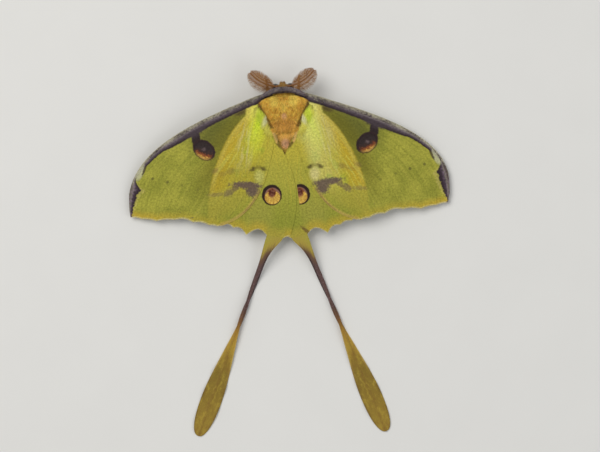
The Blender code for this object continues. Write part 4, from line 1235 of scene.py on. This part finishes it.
def eyePaint():
    paint = Paint("eyeFacets", Roughness=0.18, Specular_IOR_Level=0.6, Coat_Weight=0.4, Coat_Roughness=0.1)
    place = paint.place()
    cells = paint.node("TexVoronoi", {"feature": "F1"}, {"Vector": place, "Scale": eyeShape["facetSize"]}, "Distance")
    colour = paint.layers((26, 18, 16), cloud=((66, 44, 34), place.noise(1.2).soft(0.4, 0.7)),
                          rims=((14, 10, 10), cells.soft(0.35, 0.6) * 0.7))
    return paint.finish(colour, cells * 0.3 + 0.14, 1 - cells, 0.4, 0.00003)


facets = eyePaint()
for sideName, side in sides.items():
    bm = bmesh.new()
    bmesh.ops.create_icosphere(bm, subdivisions=eyeShape["facets"], radius=eyeShape["radius"])
    bmesh.ops.translate(bm, verts=bm.verts[:], vec=(side * eyePlace.x, eyePlace.y, eyePlace.z))
    dressed(joined("eye" + sideName.title(), [bm], 180), facets, "eye", [f"eye_{sideName}"])
print("stage 7: eyes")


# legs: hip, knee, ankle and toe, with five foot joints, claws and a short coat

legShape = dict(
    fore=((2.4, 2.6, 3.9), (5.4, 5.0, 4.8), (5.7, 7.6, 1.3), (5.9, 10.6)),
    mid=((3.0, -0.4, 3.6), (8.0, -0.2, 5.6), (10.8, -1.0, 1.4), (13.8, -2.0)),
    hind=((2.8, -4.4, 3.7), (7.2, -9.0, 5.4), (9.4, -13.8, 1.3), (11.0, -18.2)),
    radii=(0.85, 0.6, 0.36, 0.24), tufts=520)


def roundedPath(points, steps=6):
    path = [points[0]]
    for before, corner, after in zip(points, points[1:], points[2:]):
        start, end = before.lerp(corner, 0.72), corner.lerp(after, 0.28)
        for i in range(steps + 1):
            t = i / steps
            path.append(start.lerp(corner, t).lerp(corner.lerp(end, t), t))
    path.append(points[-1])
    fine = []
    for one, two in zip(path, path[1:]):
        count = max(1, int((two - one).length / 0.22))
        fine += [one.lerp(two, i / count) for i in range(count)]
    return fine + [path[-1]]


def overFloor(points, roots):
    points[..., 2] = np.maximum(points[..., 2], 0.04)
    return clearOfWings(points, roots)


def makeLeg(pair, sideName, side, chitin, hairPaint):
    s = legShape
    hip, knee, ankle, toe = s[pair]
    thin = s["radii"][3]
    foot = thin * 1.1
    heel = Vector((mixed(ankle[0], toe[0], 0.3), mixed(ankle[1], toe[1], 0.3), foot))
    tip = heel.lerp(Vector((*toe, foot)), 0.93)
    path = roundedPath([Vector(hip), Vector(knee), Vector(ankle), heel, tip])
    path = [Vector((side * p.x, p.y, p.z)) for p in path]
    run = np.cumsum([0.0] + [(b - a).length for a, b in zip(path, path[1:])])
    places = run / run[-1] * 3
    index = np.minimum(places.astype(int), 2)
    steps = np.array(s["radii"])
    radii = mixed(steps[index], steps[index + 1], places - index)
    footStart = run[-1] - (tip - heel).length - 0.4
    joint = (run - footStart) / (run[-1] - footStart)
    radii = np.where(joint > 0, thin * (0.72 + 0.34 * np.abs(np.sin(joint * 5 * np.pi)) ** 0.5 + 0.1), radii)
    radii = np.minimum(radii, [max(0.12, p.z - 0.005) for p in path])
    forms = [tube(path, radii)]
    end, ahead = path[-1], (path[-1] - path[-4]).normalized()
    aside = ahead.cross(Vector((0, 0, 1)))
    for way in (1, -1):
        claw = [end, end + ahead * 0.22 + aside * 0.1 * way + Vector((0, 0, 0.02)),
                end + ahead * 0.4 + aside * 0.16 * way - Vector((0, 0, foot * 0.75))]
        forms.append(tube(claw, [0.09, 0.07, 0.02], 2))
    name = f"leg{pair.title()}{sideName.title()}"
    dressed(joined(name, forms), chitin, "limb", [f"leg_{pair}_{sideName}"])

    rng = np.random.default_rng(50 + len(pair) * 3 + side + int(hip[1]))
    number = rng.integers(1, len(path) - 3, s["tufts"])
    number = number[joint[number] < 0.25]
    line = np.array([tuple(p) for p in path])
    along = unit(line[number + 1] - line[number - 1])
    angle = rng.uniform(0, 2 * np.pi, len(number))
    one = unit(np.cross(along, np.array([0.1, 0.2, 1.0])))
    ups = around(one, np.cross(along, one), angle)
    roots = line[number] + ups * (radii[number] * 0.8)[:, None]
    lengths = rng.uniform(0.5, 1.0, len(number)) * np.clip(radii[number] / 0.6, 0.45, 1.2)
    lies = laidAlong(along, ups, rng, 0.2)
    hair = growCoat(name + "Fur", rng, roots, lies, ups, lengths, rng.uniform(0.09, 0.15, len(number)),
                    rng.uniform(0.2, 0.45, len(number)), 0.2, 0.2, 0.6,
                    columns(angle / (2 * np.pi), number / len(line)), overFloor)
    dressed(hair, hairPaint, "limb")


def limbMarkings(paint, place):
    mottle = place.noise(0.8, 3)
    return paint.layers((118, 74, 62), pale=((146, 104, 82), mottle.soft(0.42, 0.66)),
                        high=((176, 150, 104), place.parts()[2].soft(3.4, 5.2) * 0.5)), mottle


limbChitin, limbFur = skinPaint("limbChitin", limbMarkings, 0.55), furPaint("limbFur", limbMarkings)
for sideName, side in sides.items():
    for pair in ("fore", "mid", "hind"):
        makeLeg(pair, sideName, side, limbChitin, limbFur)
print("stage 8: legs")


# fringe of scales along the margins, and hair on the leading edge and at the wings' roots

fringeShape = dict(step=0.11, length=(0.22, 0.34), width=0.13, tailGap=5)


def mottled(scale, dark, light, start, end, tip=None):
    # markings of two mottled tones, and a third towards the wing tips
    def marks(paint, place):
        mottle = place.noise(scale, 3)
        colour = paint.over(dark, light, mottle.soft(start, end))
        if tip:
            colour = paint.over(colour, tip, place.parts()[1].soft(-22, -25) * 0.85)
        return colour, mottle
    return marks


def marginFringe(name, wing, side, paint, seed):
    s = fringeShape
    rng = np.random.default_rng(seed)
    gaps = len(wing["veins"]) + 1
    gap = np.repeat(np.arange(gaps), 400)
    across = np.tile(np.linspace(0, 1, 400, endpoint=False), gaps)
    line = wingPoints(wing, gap, across, np.ones(len(gap)))[0]
    run = np.concatenate([[0], np.cumsum(np.linalg.norm(np.diff(line, axis=0), axis=1))])
    number = np.clip(np.searchsorted(run, np.arange(0.1, run[-1], s["step"])), 1, len(run) - 2)
    if wing["hind"]:  # the tail's root takes the place of the fringe
        number = number[gap[number] != s["tailGap"]]
    gap, across = gap[number], across[number]
    count = len(number)
    root, inside = wingPoints(wing, gap, across, np.full(count, 0.998))
    inner = wingPoints(wing, gap, across, np.full(count, 0.97))[0]
    x, y, z = placed(wing, side, root, inside, np.ones(count))
    innerX, innerY, _ = placed(wing, side, inner, inside, np.ones(count))
    lies = unit(columns(x - innerX, y - innerY, 0))
    lies = lies + rng.normal(0, 0.12, lies.shape) * [1, 1, 0.3]
    roots = columns(x, y, z + rng.uniform(-0.05, 0.05, count))
    fringe = growCoat(name, rng, roots, lies, np.tile(upwards, (count, 1)), rng.uniform(*s["length"], count),
                      s["width"], 0.0, 0.05, 0.1, 0.3, columns(run[number] / run[-1], 0.5))
    dressed(fringe, paint, "hindwing" if wing["hind"] else "forewing")


fringePaint = furPaint("wingFringe", mottled(0.8, (182, 166, 84), (214, 202, 150), 0.42, 0.62))
for sideName, side in sides.items():
    for kind, wing, seed in (("fore", foreWingOf(side), 60), ("hind", hindWing, 64)):
        marginFringe(f"{kind}Fringe{sideName.title()}", wing, side, fringePaint, seed + side)


def costaHair(name, side, paint, count, spread, seed):
    # short dense hair on the leading edge, longest by the collar
    rng = np.random.default_rng(seed + side)
    t = rng.random(count) ** 1.3 * 0.95
    first = np.zeros(count, int)
    wing = foreWingOf(side)
    rails = railsOf(wing)
    width = np.linalg.norm(bezier(rails[1], t) - bezier(rails[0], t), axis=1)
    away = np.maximum(rng.uniform(*spread, count), 0) * np.interp(t, [0, 0.4, 0.5, 1], [1.9, 1.6, 0.9, 0.6])
    across = np.minimum(away / np.maximum(width, 0.05), 1.0)
    point, inside = wingPoints(wing, first, across, t)
    ahead = wingPoints(wing, first, across, np.minimum(t + 0.01, 1))[0]
    here, there = (columns(*placed(wing, side, p, inside, t)) for p in (point, ahead))
    half = wing["membrane"] + costaThick(wing, inside, t)
    # on the edge itself the hair grows all round it
    turn = np.where(away > 0, np.pi / 2, rng.uniform(-0.7, 1.4, count))
    ups = around(np.array([side * 0.42, 0.9, 0]), upwards, turn)
    rise = half * np.where(away > 0, leadingRound(wing, inside), np.sin(turn) * 0.8)
    roots = here + columns(0, 0, rise) - ups * 0.03
    lies = laidAlong(unit(there - here) + np.array([0, -0.2, 0]), ups, rng, 0.12)
    lengths = rng.uniform(0.4, 0.8, count) * np.interp(t, [0, 0.15, 0.5, 1], [1.5, 1.0, 0.8, 0.6])
    widths = rng.uniform(0.09, 0.14, count)
    hair = growCoat(name, rng, roots, lies, ups, lengths, widths, 0.16, 0.12, 0.15, 0.5, columns(t, across * 0.9))
    dressed(hair, paint, "forewing")


costaPaint = furPaint("costaFur", mottled(1.4, (88, 78, 80), (146, 138, 126), 0.44, 0.68, (78, 64, 68)))
costaEdgePaint = furPaint("costaEdgeFur", mottled(1.4, (160, 154, 134), (196, 191, 164), 0.36, 0.6, (94, 84, 74)))
for sideName, side in sides.items():
    costaHair("costaFur" + sideName.title(), side, costaPaint, 2800, (0.12, 1.0), 70)
    costaHair("costaEdgeFur" + sideName.title(), side, costaEdgePaint, 2600, (-0.5, 0.26), 76)


rootHairShape = dict(count=1500, short=420, length=(2.0, 4.2), shortLength=(0.9, 1.7), width=(0.07, 0.12))


def rootHair(sideName, side, paint):
    # long soft hair that lies on the forewing beside the thorax
    s = rootHairShape
    rng = np.random.default_rng(80 + side)
    long, short = s["count"], s["short"]
    y = rng.uniform(-8.5, 0.6, long)
    x = acrossAt(y, roofShape["outline"]) + rng.uniform(0.1, 2.6, long)
    y = np.minimum(y, 0.2 - (x - 7.5) * 0.5)
    lengths = rng.uniform(*s["length"], long)
    # shorter beside the waist, where it softens the hindwing's inner edge
    edgeY = rng.uniform(-12.6, -7.8, short)
    y = np.concatenate([y, edgeY])
    x = np.concatenate([x, acrossAt(edgeY, hindInnerLine) + rng.uniform(-0.15, 0.4, short)])
    lengths = np.concatenate([lengths, rng.uniform(*s["shortLength"], short)])
    lifts = np.concatenate([np.full(long, 0.05), rng.uniform(0.2, 0.45, short)])
    outwards = np.repeat([0.22, 0.4], [long, short])
    lies = unit(columns(side * rng.normal(outwards, 0.12), -1, 0))
    top = wingSheets(side * x, y)[0]
    far = wingSheets(side * x + lies[:, 0] * 2.0, y + lies[:, 1] * 2.0)[0]
    lies[:, 2] = (far - top) / 2.0
    hair = growCoat("rootHair" + sideName.title(), rng, columns(side * x, y, top - 0.12), lies,
                    np.tile(upwards, (len(x), 1)), lengths, rng.uniform(*s["width"], len(x)), lifts, lifts * 0.8,
                    0.12, 0.5, columns(x / 12, (y + 16) / 19), clearOfWings)
    dressed(hair, paint, "forewing")


def rootMarkings(paint, place):
    x, y, _ = place.parts()
    folded = paint.gather(abs(x), y)
    beside = (abs(x) + (y + 8) * (y + 8) * 0.045).soft(5, 4.2) * y.soft(-7.4, -8.8)
    return paint.layers(
        (216, 211, 94), lime=((200, 220, 62), folded.spot(8.6, -4.4, 1.4, 5, 16, 0.7) * 0.8),
        white=((224, 224, 180), folded.spot(6.6, -5.6, 0.8, 2, 24, 0.6) * 0.8),
        rear=((184, 170, 62), y.soft(-9, -11.5) * 0.6), waist=((218, 178, 104), beside * 0.9)), place.noise(0.9, 3)


rootPaint = furPaint("rootHair", rootMarkings)
for sideName, side in sides.items():
    rootHair(sideName, side, rootPaint)
print("stage 9: fringes and edge hair")


# floor, light and camera; light colours are linear

stageShape = dict(
    floor=3.0, lens=135.0, sensor=36.0, viewWidth=210.0, middle=(3.73, -42.92), roll=-2.69, wingHeight=8.0,
    lights=(("keyLight", (-0.55, 0.55, 1.1), 0.9, 11.5, (1.0, 0.985, 0.96)),
            ("fillLight", (0.9, -0.5, 0.9), 1.2, 4.8, (0.96, 0.98, 1.0))),
    room=(0.93, 0.94, 0.96, 1), roomStrength=0.38)


def floorPaint():
    paint = Paint("paleFloor", Roughness=0.9, Specular_IOR_Level=0.1)
    speck = paint.node("TexCoord", out="Object").noise(40)
    return paint.finish(paint.over((226, 225, 221), (222, 221, 217), speck))


bm = bmesh.new()
bmesh.ops.create_grid(bm, x_segments=4, y_segments=4, size=stageShape["floor"])
floor = objectOf("floor", bm)
floor.data.materials.append(floorPaint().material)

scene = bpy.context.scene
for name, place, size, power, colour in stageShape["lights"]:
    light = bpy.data.lights.new(name, "AREA")
    light.shape = "SQUARE"
    light.size, light.energy, light.color = size, power, colour
    lamp = bpy.data.objects.new(name, light)
    scene.collection.objects.link(lamp)
    lamp.location = place
    lamp.rotation_euler = (-Vector(place)).to_track_quat("-Z", "Y").to_euler()
world = bpy.data.worlds.new("softRoom")
world.use_nodes = True
background = world.node_tree.nodes["Background"].inputs
background["Color"].default_value = stageShape["room"]
background["Strength"].default_value = stageShape["roomStrength"]
scene.world = world
scene.view_settings.view_transform = "Standard"

camera = bpy.data.cameras.new("camera")
camera.sensor_width = stageShape["sensor"]
camera.lens = stageShape["lens"]
camera.clip_start, camera.clip_end = 0.01, 50
distance = stageShape["viewWidth"] * stageShape["lens"] / stageShape["sensor"]
viewer = bpy.data.objects.new("camera", camera)
scene.collection.objects.link(viewer)
viewer.location = toFrame(np.array([*stageShape["middle"], stageShape["wingHeight"] + distance]))
viewer.rotation_euler = (0, 0, math.radians(stageShape["roll"]))
scene.camera = viewer
print("stage 10: floor, light and camera")
